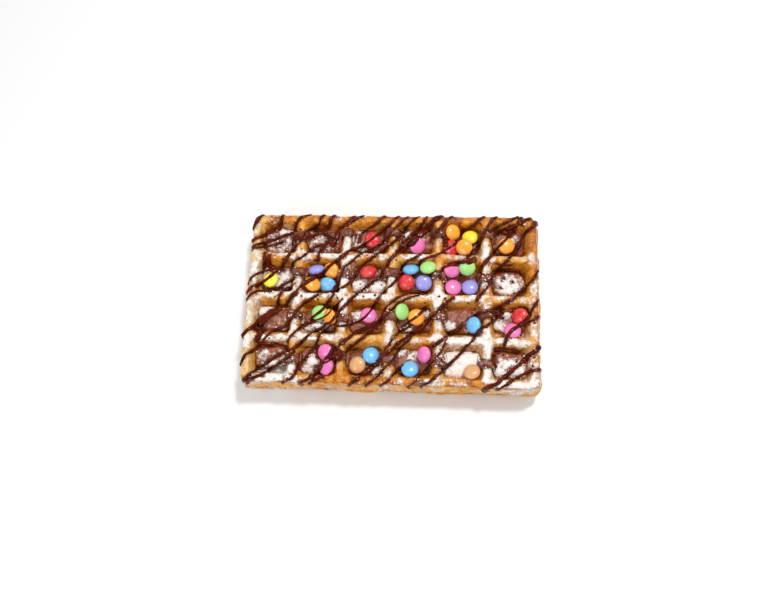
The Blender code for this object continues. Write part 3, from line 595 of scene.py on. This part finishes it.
def spread_material(dust):
    made, tree, shader = new_material("chocolate spread", Specular_IOR_Level=0.45)
    cloudy = ramp_node(tree, noise_node(tree, 300, 5, 0.6), SPREAD_COLOURS)
    stain = attribute(tree, "stain")
    stained = weighed(tree, 0.0, (0.70, stain))
    finish_surface(
        tree, shader, dust, (0.6,), Roughness=weighed(tree, 0.36, (-0.22, stain)),
        Height=noise_node(tree, 900, 4, 0.6),
        Colour=mix_node(tree, stained, cloudy, linear("#4a1305")),
        Thickness=weighed(tree, attribute(tree, "sugar"), (-0.4, stain), clamp=True),
    )
    return made


def sauce_material():
    made, tree, shader = new_material(
        "chocolate sauce", Roughness=0.08, Specular_IOR_Level=0.36,
        Specular_Tint=(1.0, 0.58, 0.42, 1.0),
    )
    colour = ramp_node(tree, noise_node(tree, 220, 3, 0.5), [(0.35, "#340800"), (0.65, "#621604")])
    feed_all(tree, shader, Base_Color=colour)
    raise_relief(tree, shader, noise_node(tree, 460, 2, 0.5), 0.5)
    return made


def shell_material(name, code, dust):
    made, tree, shader = new_material(f"{name} shell", Coat_Weight=0.3, Coat_Roughness=0.2)
    base = linear(code)
    pale = tuple(0.88 * c + 0.12 for c in base[:3]) + (1.0,)
    finish_surface(
        tree, shader, dust, (0.10, 0.4 * RELIEF), Roughness=0.30,
        Colour=ramp_node(tree, noise_node(tree, 380, 3, 0.5), [(0.35, base), (0.95, pale)]),
        Height=noise_node(tree, 1300, 3, 0.5), Thickness=attribute(tree, "sugar"),
    )
    return made


def lump_material():
    made, tree, shader = new_material("sugar lumps", Roughness=0.95, Specular_IOR_Level=0.2)
    colour = ramp_node(tree, noise_node(tree, 900, 3, 0.6), [(0.3, "#efe6dc"), (0.7, "#fffefb")])
    feed_all(tree, shader, Base_Color=colour)
    raise_relief(tree, shader, noise_node(tree, 3500, 3, 0.6), 0.6, 0.6 * RELIEF)
    return made


# ---- the spread

SPREAD_MESH = 0.75 * MM


def spoon_spread(row, material):
    """A band of spread in place of its solid, lumpy and fuller, with its sugar painted on it."""
    node = f"spread_row_{row}"
    piece = linked(f"spooned_spread_{row}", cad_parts[node].data.copy())
    remesh = piece.modifiers.new("remesh", "REMESH")
    remesh.mode, remesh.voxel_size = "VOXEL", SPREAD_MESH
    smooth = piece.modifiers.new("smooth", "SMOOTH")
    smooth.factor, smooth.iterations = 0.6, 10
    graph = bpy.context.evaluated_depsgraph_get()
    mesh = bpy.data.meshes.new_from_object(piece.evaluated_get(graph), depsgraph=graph)
    piece.modifiers.clear()
    piece.data = mesh
    mesh.materials.clear()
    mesh.materials.append(material)
    mesh.shade_smooth()
    places, normals = places_of(mesh), normals_of(mesh)
    fuller = 0.5 + 0.9 * clamp01(1 - 1.6 * np.abs(normals[:, 2]))
    fuller += lumps(places, (0.60, 5.5, 40 + row), (0.38, 2.4, 45 + row), (0.16, 1.1, 50 + row))
    places = places + normals * (fuller * 0.8 * MM)[:, None]
    sugar = 0.8 * sugar_at(places, normals[:, 2], SUGAR_ON_SPREAD, 0.5 * LIGHT_DUST)
    places = places + normals * (0.35 * MM * sugar)[:, None]
    set_places(mesh, places)
    paint(mesh, "sugar", sugar)
    settle(piece, "chocolate_spread", node)
    return piece


# ---- the lentils

LENTIL_SIDES, LENTIL_RINGS = 40, 17
LENTIL_EDGE = 0.92  # below 1, the edge is fuller than an ellipse's


def ring_faces(rings, sides, base, first, last):
    """Faces between rings of points that start at base, and to one point at each end."""
    pairs = list(zip(range(sides), [*range(1, sides), 0]))
    end = base + (rings - 1) * sides
    faces = [(first, base + j, base + i) for i, j in pairs]
    faces += [(a + i, a + j, a + sides + j, a + sides + i)
              for a in range(base, end, sides) for i, j in pairs]
    return faces + [(last, end + i, end + j) for i, j in pairs]


def lentil_axes(node):
    """A lentil's middle, its turn, and its half sizes, from the vertices of its solid."""
    places = places_of(node.data)
    low, high = places.min(axis=0), places.max(axis=0)
    middle = (low + high) / 2
    values, ways = np.linalg.eigh(np.cov((places - middle).T))
    flat = ways[:, 0] * np.sign(ways[2, 0] or 1)
    spans = (places - middle) @ ways
    half = np.abs(spans).max(axis=0)
    turn = Vector(flat).to_track_quat("Z", "Y").to_matrix()
    return middle, np.array(turn), float(max(half[1], half[2])), float(half[0])


def roll_lentil(name, materials):
    """A smooth sugar-shell lentil in place of its solid."""
    middle, turn, wide, high = lentil_axes(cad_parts[name])
    angles = np.linspace(0, 2 * math.pi, LENTIL_SIDES, endpoint=False)
    places = [(0.0, 0.0, -1.0)]
    for step in range(1, LENTIL_RINGS + 1):
        lean = -math.pi / 2 + math.pi * step / (LENTIL_RINGS + 1)
        out, up = math.cos(lean) ** LENTIL_EDGE, math.sin(lean)
        places += [(out * math.cos(a), out * math.sin(a), up) for a in angles]
    places = np.array(places + [(0.0, 0.0, 1.0)])
    _, number, colour = name.split("_")
    uneven = 1 + 0.018 * rough(places, 0.9, int(number))
    places = (places * uneven[:, None] * np.array([wide, wide, high])) @ turn.T + middle
    faces = ring_faces(LENTIL_RINGS, LENTIL_SIDES, 1, 0, len(places) - 1)
    shell = f"shell_{number}_{colour}"
    piece = mesh_piece(shell, places, faces, materials[colour], f"shell_{colour}", name)
    sugar = sugar_at(places, normals_of(piece.data)[:, 2], SUGAR_ON_CRUST, LIGHT_DUST)
    paint(piece.data, "sugar", 0.3 * sugar)
    return piece


# ---- the sauce

# Each strand's width, then x, y of each place that it passes, in millimetres, as the camera sees
# them on the plane of the ridge tops.
STRANDS = [
    (2.3, -88, 43, -86, 45.5, -83.5, 48.5, -81, 53.5),
    (2.3, -68.5, 54, -68.7, 50, -68.7, 46, -69.5, 42.5, -75, 40.5, -79, 37.5, -83, 36, -88, 35),
    (1.9, -51, 53.5, -54, 51, -57.5, 49.5, -59.7, 45, -60.3, 41, -62, 39, -66, 38, -72, 35, -78, 33,
     -88, 30.5),
    (1.4, -66, 34, -73, 31.5, -79, 30.3, -88, 29),
    # this strand lies where the pocket's wall is in shadow: dark sauce partly standing in for
    # painted shade
    (1.3, -60, 42, -60.3, 36, -60.8, 31),
    (1.8, -42.6, 54, -44.5, 50, -45.5, 45, -48.5, 43, -53, 40.5, -56, 34, -58.5, 31, -61, 28,
     -64, 22, -66, 17.6, -68.5, 15.6, -71, 13, -74.5, 9.8, -77.5, 7, -81, 5.5, -85, 4.4, -88, 1.5),
    (2.1, -36.3, 54, -38.5, 48, -39, 44.5, -42.5, 41, -46, 39, -50, 37, -56, 36, -60, 37.5),
    (1.9, -18, 54, -21, 51, -25, 47.4, -30, 44.2, -33, 41, -37, 36, -41.3, 31.5, -44, 27, -44.4, 24,
     -44.6, 20.8),
    (1.8, -23.5, 54, -27, 48, -31, 43, -34, 38, -39, 33.5, -46, 31, -50, 27.5, -56, 23, -59.5, 20.5,
     -60.5, 15),
    (3.4, -33, 41, -34.5, 36, -38, 32),
    (2, -48, 41.5, -44, 40.5, -39, 37.5, -36.5, 33),
    (1.5, -64, 15.8, -70, 16.4, -75, 15.2, -80.5, 13.2, -84.5, 10.5, -88, 7),
    (1.5, -57, 11, -60, 9, -64, 6.8, -66.5, 4.4, -69, 2.6, -73, 1.8, -78, 2.2, -82, 1.2, -88, -3),
    (1.5, -57, 8, -58.5, 6, -59.5, 3.7, -64.5, 2, -66.3, -1, -67, -9),
    (2.5, -77.2, 26.6, -76.8, 22.6, -76.6, 18.4, -77.4, 15.4),
    (2.7, -74.8, 25.4, -74.4, 21.6, -73, 18, -70.6, 16),
    (1.8, 3.3, 54, -0.5, 48, -4, 43.5, -8, 40, -12.5, 36.5, -16.5, 33, -20.5, 30.5, -25, 29,
     -29, 26, -33, 22, -36, 19.7, -38.8, 17, -40.2, 13.8, -42.8, 11.7, -47, 10.8, -51, 8.6,
     -54.5, 5, -56.7, 1.5, -59.5, -2),
    (2.5, -56, 2.5, -59.5, -2, -61, -5.5, -65, -9, -69.5, -11.6, -74.5, -14.8, -79, -18.6,
     -83, -21.4, -88, -25),
    (4.4, -68, -9.5, -73, -13.5, -77.5, -19),
    (3, -80.5, -19.6, -77.4, -22, -74.4, -24.4),
    (2.2, -76, -21.6, -77.2, -25, -78, -28.6),
    (2, -72.6, -21.4, -75, -24.4, -76.4, -28),
    (1.6, 9, 54, 5, 47.5, 0, 42.4, -4, 36.8, -8.6, 31.2, -13.6, 28.6, -19, 26.6, -24, 22,
     -28.5, 17.4, -30.3, 11, -31.6, 6.5, -34, 3.4, -38, 2.2, -42.6, 1, -46.7, -2, -51.3, -5.7,
     -54.5, -8.5, -57, -13, -60.4, -18.5, -65, -20.7, -70.4, -24, -74, -28.5),
    (1.5, 16, 54, 12.5, 49.5, 9, 45.5, 6, 40.5, 2, 36, -3, 31, -7, 28, -10.6, 25.4, -15.4, 21.4,
     -19.4, 17, -21, 13, -24.5, 8.7, -27.6, 6, -31.3, 3.7, -35.8, -2, -38.5, -7, -42, -10.5,
     -45.5, -13.5, -48, -17, -51.7, -19.4, -55.4, -22.5, -58, -25.7, -59, -29),
    (1.3, -28, -1, -31, -5, -34.5, -9, -38, -12.5, -44, -15.5, -49, -18),
    (1.8, 20.5, 54, 18.5, 48, 15, 43, 10, 38, 6, 33.3, 4.2, 29.6, -1, 23.5, -3, 19, -5.8, 13.7,
     -13, 7.4, -18, 3, -23, -1.6, -27, -6, -30, -9.8, -33, -14, -36, -17.5, -40, -19.8,
     -46.3, -23.5, -48.5, -25.7, -51.7, -29.4, -55, -32, -59.5, -34, -65, -37, -70, -41, -75, -44.5,
     -80, -48.5, -85.5, -54),
    (2, -54, -33, -58.5, -38, -64, -42, -67, -45, -72, -47.5, -78, -50.5, -82, -54),
    (1.8, -67, -29.5, -72, -31, -75.8, -32, -79, -34.4, -83.5, -36.6, -88, -42),
    # dark sauce along the foot of the back wall, partly a painted shadow of the ridge
    (1.8, -78, -28.5, -72, -29.8, -65, -30.5, -58, -32),
    (1.8, -5, 54, -7.5, 50, -10, 46.5, -13.5, 43.6, -17.6, 41, -20, 37.5, -19.8, 33),
    (2.7, 29.6, 55, 25, 49.5, 19.5, 43.8, 15, 39, 11.3, 35, 8, 31, 4.5, 27.8),
    (4, 24.5, 46.5, 20.4, 42.6, 15.9, 38.8, 11.9, 35, 8.8, 31.4),
    (2.2, 35.5, 54, 32, 48.5, 29, 44.6, 26, 41, 23, 37),
    (1.4, 17.5, 27, 13.5, 24.8, 9.5, 22.3, 6.5, 19.8, 5.5, 16.5),
    (1.6, 40, 36, 36, 33, 31, 29.2, 26, 26.5, 20.8, 24.6, 17, 22.6, 15.9, 19.6, 16.4, 16),
    (1.5, 6.5, 15, 3.8, 12.2, 2, 9.2, -3, 4, -8, -2, -10, -6.5, -12.5, -10, -16, -14, -20, -16,
     -25, -17.5, -32, -19, -35, -20.7, -40.4, -23.5, -41.7, -28, -43.5, -32, -47.5, -37, -51, -42,
     -53, -46.5, -56, -50.5, -60.5, -54.5),
    (1.6, 10, 1.8, 7.6, 1.2, 5, 0.2, 1, -3, -3, -7.5, -5, -13, -10, -17.5, -16, -20, -21, -23.5,
     -26, -28, -30, -31.5, -31.4, -35.6, -34, -39.2, -37.8, -40.6, -40.4, -44, -43, -47.6,
     -50, -54),
    (3.2, -37.6, -39.2, -38.6, -43.5, -40.6, -46.8, -45.4, -49.2),
    (2.2, -31.4, -30.4, -33.4, -34.6, -36.4, -38.6),
    (1.9, -41.4, -29.4, -41.2, -33.6, -39.8, -37.6),
    (1.5, 22, 2.2, 16.4, 1.4, 9.6, -0.8, 4, -4.6, 0, -8.6, -2.6, -11.8, -6, -16, -11.3, -21.8,
     -16, -25.4, -20.5, -29.6, -24.6, -34, -27, -37.2),
    (1.9, -36, -47.6, -40, -49.4, -45, -55.5),
    (1.2, -9, -18, -14.6, -19.4, -19, -21.6, -24.6, -25.6, -28.6, -29.6, -29, -35),
    (3.6, -27.5, -32, -29, -36, -29.5, -39),
    (2.1, 77, 54, 75, 48, 71.5, 42, 68.5, 38, 65.5, 35, 62.5, 31.5, 59.5, 27.5, 56, 23.5, 53, 19,
     51.6, 15.4),
    (1.9, 37.8, 0.8, 36.4, 0, 33.5, -2, 29, -6.5, 25.5, -10.5, 21, -15, 17, -19, 11, -23.5, 6, -27,
     3, -30.5, -1, -33.5, -5, -37.5, -9, -42, -14, -46, -18, -50, -22, -55),
    (3.6, -4, -37, -8, -41, -12, -44.5, -15.5, -47),
    (1.4, 27, -9, 23, -13.5, 19.5, -18, 15, -20.7, 12, -25, 8, -29, 5, -33.5, 2, -38, -2, -42.5,
     -5, -46.5, -9, -50, -12.5, -55),
    (1.1, 14, -16.4, 10, -18.6, 5.6, -21.4, 2, -25.4, -1, -30, -4.5, -35.7, -7, -39),
    (3.4, 21, -13.5, 19.5, -17.5, 17, -20),
    (1.5, 21, -6, 18.3, -9, 15, -12, 11.5, -14.7, 7, -18),
    (1.5, 9, -40, 3.7, -45.3, 1, -48.5, -4, -55),
    (2, 88, 18.5, 83, 12.5, 78, 7, 74.5, 3.5, 71.6, 0.5, 66, -3),
    (1.8, 72, 1, 66, -3.5, 60.7, -6, 55, -8, 50, -9.5, 45, -12.5, 41, -17, 38.9, -19.4, 34, -22.5,
     30, -25.5, 25, -29.4),
    (1.8, 73.5, 31.5, 70, 26, 66, 21.5, 62, 17.5, 59.8, 15, 58.5, 11, 57, 7.8, 54, 4, 51, 0.5,
     49.5, -2),
    (2.5, 88, 50, 84, 46, 80, 42.5, 77, 38, 74.5, 33, 72.5, 29, 70, 26),
    (2.1, 75, 53.5, 70, 49.5, 65, 46.5, 60, 43.5, 57, 41.5),
    (2.1, 83.5, 54, 79, 49.5, 74, 46.5, 69, 44, 63.5, 41.5, 60, 39.5),
    (3.4, 74, 44.5, 69, 42, 64.5, 41),
    (3, 31.4, 38.6, 31.8, 35, 32.2, 31.4),
    (2.6, -36, -7.4, -32.6, -9, -30.4, -12.4),
    (3, 49.4, 22.9, 46.6, 23.1, 43.6, 22.2),
    (2.4, 50.4, 24.6, 46, 23.6, 41.5, 21.9, 38, 21.8, 35, 21.8, 32.4, 20.6),
    (3, -41.6, 12.6, -45.6, 11, -49.4, 9, -51.4, 6),
    (1.9, 60, 15.6, 64, 17.6, 69, 18, 74, 17, 77.6, 13.4),
    (1.4, 61.6, 21.6, 66, 20.6, 71, 21),
    (1.3, 65.2, 12.7, 66.8, 12.1),
    (1.5, 70.2, 10.9, 72, 10.3),
    (1.2, 63.4, 7.6, 64.8, 6.6),
    (2, 55, 54, 51, 49, 48, 45.5, 45.3, 43.3, 42.2, 41, 40.3, 37.5, 38.7, 34.5),
    (1.9, 62.5, 54, 58.5, 48.5, 56, 43.5, 53.5, 39.5, 51.6, 34, 48.4, 28.5, 42.5, 23.5, 39.5, 20.6,
     35.5, 20.6, 31.5, 19, 29, 15.5, 28.3, 11),
    (1.9, 88, -9.5, 82, -12.5, 78, -15, 74.5, -16, 71.5, -17.5, 69, -20, 67, -23.5, 65.5, -28.5),
    (1.6, 88, 0.5, 83.5, -3.5, 81, -7.5, 79, -11, 76.5, -13.5, 73.5, -15.5),
    (1.7, 66, -8, 61, -12, 57, -15.3, 53, -18.5, 50.5, -21, 48, -25, 44, -29, 40, -34, 35, -39,
     30, -44, 26, -47.5, 22.5, -51, 19, -55.5),
    (1.2, 37, -20, 34, -23, 32.5, -25.3, 31, -30, 27, -36, 22, -42, 17, -48, 12, -55),
    (1.8, 70.4, -7.6, 73.4, -5.5, 77.2, -5.3, 80, -7.6),
    (1.9, 57, -7.2, 61.6, -9.4, 66, -12),
    (1.7, 63, -4.6, 64.4, -8, 63.4, -11),
    # these two lie in the pocket's shadowed top and left side: dark sauce partly standing in for
    # painted shade
    (2.4, 60, -29.8, 65, -29.4, 70.6, -29.8, 74, -31.6),
    (2.2, 59.6, -33, 59.4, -37, 61, -41),
    (2.5, 88, -27.5, 81, -32, 76, -36.5, 71, -41, 66, -45.5, 60, -51, 55, -56.5),
    (1.7, 88, -40.5, 80, -42, 75, -44.5, 70, -47.5, 66, -51, 62.5, -56),
]
STRAND_STEP = 0.55 * MM
STRAND_SIDES = 10
STEEPEST = 2.2
SAUCE_THICK = 0.95 * MM  # half of the most that wide sauce stands up
DRIP_LENGTHS = (5.0, 3.0, 6.6, 4.0)
DROP_TRIES = 620
DROP_SPREAD = 2.6 * MM
DROP_SHAPE = (1.25, 0.95, 0.45)


def distance_along(points):
    return np.concatenate([[0], np.cumsum(np.linalg.norm(np.diff(points, axis=0), axis=1))])


def seen_places(tree, line):
    """Where these places of the ridge plane lie on the surfaces, in plan, for the camera."""
    eye = camera_stand().translation
    found = []
    for point in line:
        way = Vector((point.x, point.y, THICKNESS)) - eye
        place = tree.ray_cast(eye, way.normalized())[0]
        inside = place and outline_near(point)[2] < -0.5 * MM
        found.append((place.x, place.y) if inside else (point.x, point.y))
    smooth = even_out(found, 4)
    gone = distance_along(smooth)
    stops = np.linspace(0, gone[-1], max(4, round(gone[-1] / STRAND_STEP)))
    x, y = (np.interp(stops, gone, smooth[:, axis]) for axis in range(2))
    return [Vector(place) for place in zip(x, y)]


def flowing_line(points):
    """A curve through the points in plan, in steps of one length."""
    ends = [2 * points[0] - points[1], *points, 2 * points[-1] - points[-2]]
    line = []
    for a, b, c, d in zip(ends, ends[1:], ends[2:], ends[3:]):
        for t in np.linspace(0, 1, max(3, round((c - b).length / STRAND_STEP)), endpoint=False):
            line.append(0.5 * (2 * b + (c - a) * t + (2 * a - 5 * b + 4 * c - d) * t * t
                               + (3 * b - a - 3 * c + d) * t ** 3))
    return line + [points[-1]]


def outline_near(point):
    """The nearest place on the rounded outline, the way out there, and how far beyond it is."""
    sign = Vector((math.copysign(1, point.x), math.copysign(1, point.y)))
    place = point * sign
    corner = Vector((CORNER_X, CORNER_Y))
    if place.x > corner.x and place.y > corner.y:
        out = (place - corner).normalized()
        edge = corner + out * CORNER_CUT
    elif place.x / HALF_LENGTH > place.y / HALF_WIDTH:
        out = Vector((1.0, 0.0))
        edge = Vector((HALF_LENGTH, place.y))
    else:
        out = Vector((0.0, 1.0))
        edge = Vector((place.x, HALF_WIDTH))
    return edge * sign, out * sign, (place - edge).dot(out)


def run_down(tree, point, number):
    """The sauce's line over the rim and down the side, from the rim on."""
    edge, out, _ = outline_near(point)
    length = DRIP_LENGTHS[number % len(DRIP_LENGTHS)] * MM
    way = Vector((-out.x, -out.y, 0))
    inside = edge - 1.5 * MM * out
    level = height_over(tree, inside.x, inside.y) - 0.6 * MM
    line = []
    for down in np.arange(0.0, length, STRAND_STEP):
        start = Vector((edge.x + 8 * MM * out.x, edge.y + 8 * MM * out.y, level - down))
        hit = tree.ray_cast(start, way, 11 * MM)
        if hit[0]:
            x, y = (hit[0][axis] + 0.15 * MM * out[axis] for axis in range(2))
            line.append(Vector((x, y, start.z)))
    return line


def both_ways(count):
    """Each place and the one before it, from the start to the end and back."""
    yield from ((i, i - 1) for i in range(1, count))
    yield from ((i, i + 1) for i in range(count - 2, -1, -1))


def drape(tree, line, radius):
    """Heights that lie on what is below and never fall more steeply than sauce does."""
    heights = []
    for i, point in enumerate(line):
        ahead = line[min(i + 1, len(line) - 1)] - line[max(i - 1, 0)]
        across = Vector((-ahead.y, ahead.x)).normalized() * radius
        spots = [point + across * share for share in (-0.7, 0.0, 0.7)]
        found = [height_over(tree, s.x, s.y) for s in spots]
        heights.append(0.3 * max(found) + 0.7 * found[1] + 0.25 * min(radius, SAUCE_THICK))
    for i, before in both_ways(len(line)):
        fall = STEEPEST * (line[i] - line[before]).length
        heights[i] = max(heights[i], heights[before] - fall)
    return heights


def even_out(values, rounds):
    """Averages each value with its neighbours, keeping the ends."""
    values = np.array(values, float)
    for _ in range(rounds):
        values[1:-1] = (values[:-2] + 2 * values[1:-1] + values[2:]) / 4
    return values


def tube(places, radii, flatten):
    """The points and faces of a closed tube; its height is less than its width."""
    ahead = np.gradient(places, axis=0)
    ahead /= np.linalg.norm(ahead, axis=1)[:, None] + 1e-12
    side = np.cross(ahead, [0.0, 0.0, 1.0])
    steep = np.linalg.norm(side, axis=1) < 0.2
    known = ~steep
    for i, before in both_ways(len(side)):
        if known[before] and not known[i]:
            side[i], known[i] = side[before], True
    side /= np.linalg.norm(side, axis=1)[:, None] + 1e-12
    up = np.cross(side, ahead)
    turns = np.linspace(0, 2 * math.pi, STRAND_SIDES, endpoint=False)[:, None]
    around = side[:, None] * np.cos(turns) + up[:, None] * np.sin(turns) * flatten
    rings = places[:, None] + around * radii[:, None, None]
    points = np.concatenate([rings.reshape(-1, 3), places[:1], places[-1:]])
    last = len(points) - 1
    return points, ring_faces(len(places), STRAND_SIDES, 0, last - 1, last)


def pour_strand(tree, number, width, route):
    """One strand's points and faces, with beads along it and rounded ends."""
    radius = width / 2 * MM
    path = seen_places(tree, flowing_line([Vector((x * MM, y * MM)) for x, y in route]))
    on_top = [p for p in path if outline_near(p)[2] < -1.2 * MM]
    heights = even_out(drape(tree, on_top, radius), 3)
    line = [Vector((p.x, p.y, h)) for p, h in zip(on_top, heights)]
    drips = [outline_near(end)[2] > 0 for end in (path[0], path[-1])]
    if drips[0]:
        line = run_down(tree, path[0], number)[::-1] + line
    if drips[1]:
        line += run_down(tree, path[-1], number + 1)
    points = even_out([tuple(p) for p in line], 2)
    wander = lumps(points, (0.34, 5, 60 + number), (0.22, 1.9, 61 + number))
    radii = radius * (1.03 + wander)
    gone = distance_along(points)
    for share, drip in ((gone, drips[0]), (gone[-1] - gone, drips[1])):
        bead = 0.20 if drip else 0.10
        radii = radii * (1 + bead * np.exp(-(((share - 1.1 * radius) / (1.3 * radius)) ** 2)))
        tip = clamp01(share / (1.2 * radius))
        radii = radii * np.sqrt(clamp01(1 - (1 - tip) ** 2) + 0.002)
    return tube(points, radii, min(0.8, SAUCE_THICK / radius))


def splash_sauce(tree, strands):
    """Drops that fell beside the strands, each with its faces."""
    draw = np.random.default_rng(61)
    spots = strands[draw.integers(0, len(strands), DROP_TRIES)]
    spots = spots[:, :2] + draw.normal(0, DROP_SPREAD, (DROP_TRIES, 2))
    sizes = 0.22 * MM + 0.62 * MM * draw.power(0.45, DROP_TRIES)
    corners, faces = small_ball()
    for (x, y), size in zip(spots, sizes):
        place, facing = look_down(tree, x, y)[:2]
        if not place or facing.z < 0.35 or outline_near(Vector((x, y)))[2] > -MM:
            continue
        turn = np.array(facing.to_track_quat("Z", "Y").to_matrix())
        drop = corners * size * draw.uniform(0.8, 1.2, (len(corners), 1)) * DROP_SHAPE
        yield drop @ turn.T + np.array(place), faces.tolist()


def pour_sauce(tree, ground, material):
    """All the strands and drops as one piece; gives back the places of the strands."""
    places, faces, base = [], [], 0
    poured = [pour_strand(tree, number, width, np.reshape(route, (-1, 2)))
              for number, (width, *route) in enumerate(STRANDS, 1)]
    strands = np.concatenate([points for points, _ in poured])
    poured += splash_sauce(ground, strands)
    for points, sides in poured:
        places.append(points)
        faces += [[base + v for v in face] for face in sides]
        base += len(points)
    places = np.concatenate(places)
    mesh_piece("poured_sauce", places, faces, material, "chocolate_spread", "waffle")
    return strands


def stain_below(pieces, strands):
    """Paints how much thin sauce has run out beside the strands, and over the raised spread."""
    tree = KDTree(len(strands))
    for number, place in enumerate(strands):
        tree.insert(place, number)
    tree.balance()
    for piece, raised in pieces:
        places = places_of(piece.data)
        gaps = np.array([tree.find(place)[2] for place in places])
        reach = np.maximum(MM * (1.5 + lumps(places, STAIN_REACH)), 0.2 * MM)
        stain = (1.1 - gaps / reach) * (gaps < 4 * MM)
        high = raised * clamp01((places[:, 2] - THICKNESS + 3.4 * MM) / (1.6 * MM))
        high = high * (0.8 + lumps(places, STAIN_UNEVEN))
        paint(piece.data, "stain", np.maximum(stain, high))


# ---- loose sugar

LUMP_TRIES = 17000


def small_ball():
    """The twenty faces of the simplest round lump."""
    golden = (1 + 5 ** 0.5) / 2
    flat = [(-1, golden), (1, golden), (-1, -golden), (1, -golden)]
    corners = [(a, b, 0) for a, b in flat] + [(0, a, b) for a, b in flat]
    corners += [(b, 0, a) for a, b in flat]
    faces = [
        (0, 11, 5), (0, 5, 1), (0, 1, 7), (0, 7, 10), (0, 10, 11), (1, 5, 9), (5, 11, 4),
        (11, 10, 2), (10, 7, 6), (7, 1, 8), (3, 9, 4), (3, 4, 2), (3, 2, 6), (3, 6, 8),
        (3, 8, 9), (4, 9, 5), (2, 4, 11), (6, 2, 10), (8, 6, 7), (9, 8, 1),
    ]
    return np.array(corners) / math.hypot(1, golden), np.array(faces)


def scatter_lumps(tree, material):
    """Crumbs of sugar where it lies thick, as one piece."""
    draw = np.random.default_rng(24)
    x = draw.uniform(-HALF_LENGTH, HALF_LENGTH, LUMP_TRIES)
    y = draw.uniform(-HALF_WIDTH, HALF_WIDTH, LUMP_TRIES)
    up = np.ones(LUMP_TRIES)
    wanted = sugar_at(flat_points(x, y), up, SUGAR_ON_CRUST + SUGAR_ON_SPREAD, LIGHT_DUST)
    chance = draw.uniform(0, 1, LUMP_TRIES)
    sizes = 0.15 * MM + 0.46 * MM * draw.power(0.42, LUMP_TRIES)
    corners, faces = small_ball()
    count = len(corners)
    places, all_faces = [], []
    for i in np.flatnonzero(chance < wanted ** 1.5 * 0.85 + 0.02):
        place, facing = look_down(tree, x[i], y[i])[:2]
        if not place or facing.z < 0.5:
            continue
        lump = corners * sizes[i] * draw.uniform(0.65, 1.25, (count, 1)) * (1, 1, 0.75)
        all_faces += (faces + count * len(places)).tolist()
        places.append(lump + np.array(place) + (0, 0, 0.2 * sizes[i]))
    mesh_piece("sugar_crumbs", np.concatenate(places), all_faces, material, "waffle_crust")


# ---- the studio

FLOOR_HALF = 3.0


def studio_floor():
    mesh = bpy.data.meshes.new("floor")
    corners = [(-1, -1), (1, -1), (1, 1), (-1, 1)]
    mesh.from_pydata([(FLOOR_HALF * x, FLOOR_HALF * y, 0) for x, y in corners], [], [(0, 1, 2, 3)])
    made = new_material("pale floor", Base_Color=(0.90, 0.90, 0.90, 1.0), Roughness=0.5)
    mesh.materials.append(made[0])
    linked("floor", mesh)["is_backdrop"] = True


def soft_light(name, place, size, power):
    """A round lamp that shines on the middle of the part."""
    lamp = bpy.data.lights.new(name, "AREA")
    lamp.shape, lamp.size, lamp.energy = "DISK", size, power
    made = linked(name, lamp)
    made.location = place
    made.rotation_euler = (-Vector(place)).to_track_quat("-Z", "Y").to_euler()


def studio_light():
    world = bpy.data.worlds.new("studio")
    world.use_nodes = True
    back = world.node_tree.nodes["Background"]
    back.inputs["Color"].default_value = (1.0, 1.0, 1.0, 1.0)
    back.inputs["Strength"].default_value = 0.62
    bpy.context.scene.world = world
    soft_light("key", (0.20, 0.25, 0.78), 0.12, 3.9)
    soft_light("fill", (-0.45, -0.50, 0.60), 0.25, 1.6)


CAMERA_ELEVATION = math.radians(72.827)
CAMERA_AZIMUTH = math.radians(14.329)
CAMERA_ROLL = math.radians(-12.658)
CAMERA_DISTANCE = 410.883 * MM
CAMERA_TARGET = (-3.8635 * MM, -0.9047 * MM, THICKNESS)
CAMERA_LENS = 32.81


def camera_stand():
    """The camera's place and turn, as in the photo."""
    az, el = CAMERA_AZIMUTH, CAMERA_ELEVATION
    back = Vector((math.sin(az) * math.cos(el), -math.cos(az) * math.cos(el), math.sin(el)))
    right = (-back).cross(Vector((0, 0, 1))).normalized()
    up = right.cross(-back)
    turned_right = right * math.cos(CAMERA_ROLL) + up * math.sin(CAMERA_ROLL)
    turned_up = up * math.cos(CAMERA_ROLL) - right * math.sin(CAMERA_ROLL)
    stand = Matrix((turned_right, turned_up, back)).transposed().to_4x4()
    stand.translation = Vector(CAMERA_TARGET) + back * CAMERA_DISTANCE
    return stand


def aim_camera():
    lens = bpy.data.cameras.new("camera")
    lens.lens, lens.sensor_width, lens.clip_start = CAMERA_LENS, 36.0, 0.01
    camera = linked("camera", lens)
    camera.matrix_world = camera_stand()
    bpy.context.scene.camera = camera


def dress():
    dust = dusting_group()
    shells = {name: shell_material(name, code, dust) for name, code in SHELL_COLOURS.items()}
    waffle = bake_waffle(crust_material(dust))
    spread = spread_material(dust)
    bands = [spoon_spread(row, spread) for row in range(1, ROWS + 1)]
    lentils = [roll_lentil(name, shells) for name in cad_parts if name.startswith("lentil")]
    under, ground = surface_of(waffle, *bands, *lentils), surface_of(waffle, *bands)
    strands = pour_sauce(under, ground, sauce_material())
    stain_below([(waffle, 0.0)] + [(band, 0.9) for band in bands], strands)
    scatter_lumps(ground, lump_material())


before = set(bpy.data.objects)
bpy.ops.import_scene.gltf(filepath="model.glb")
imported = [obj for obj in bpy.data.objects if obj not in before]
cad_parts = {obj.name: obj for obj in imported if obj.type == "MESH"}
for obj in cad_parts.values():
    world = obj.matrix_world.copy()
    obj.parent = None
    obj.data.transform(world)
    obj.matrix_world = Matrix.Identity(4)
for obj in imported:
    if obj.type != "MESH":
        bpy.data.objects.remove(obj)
solid_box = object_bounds()
dress()
studio_floor()
studio_light()
aim_camera()
bpy.context.scene.view_settings.view_transform = "Standard"
[[list(map(float, corner)) for corner in box] for box in (solid_box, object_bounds())]
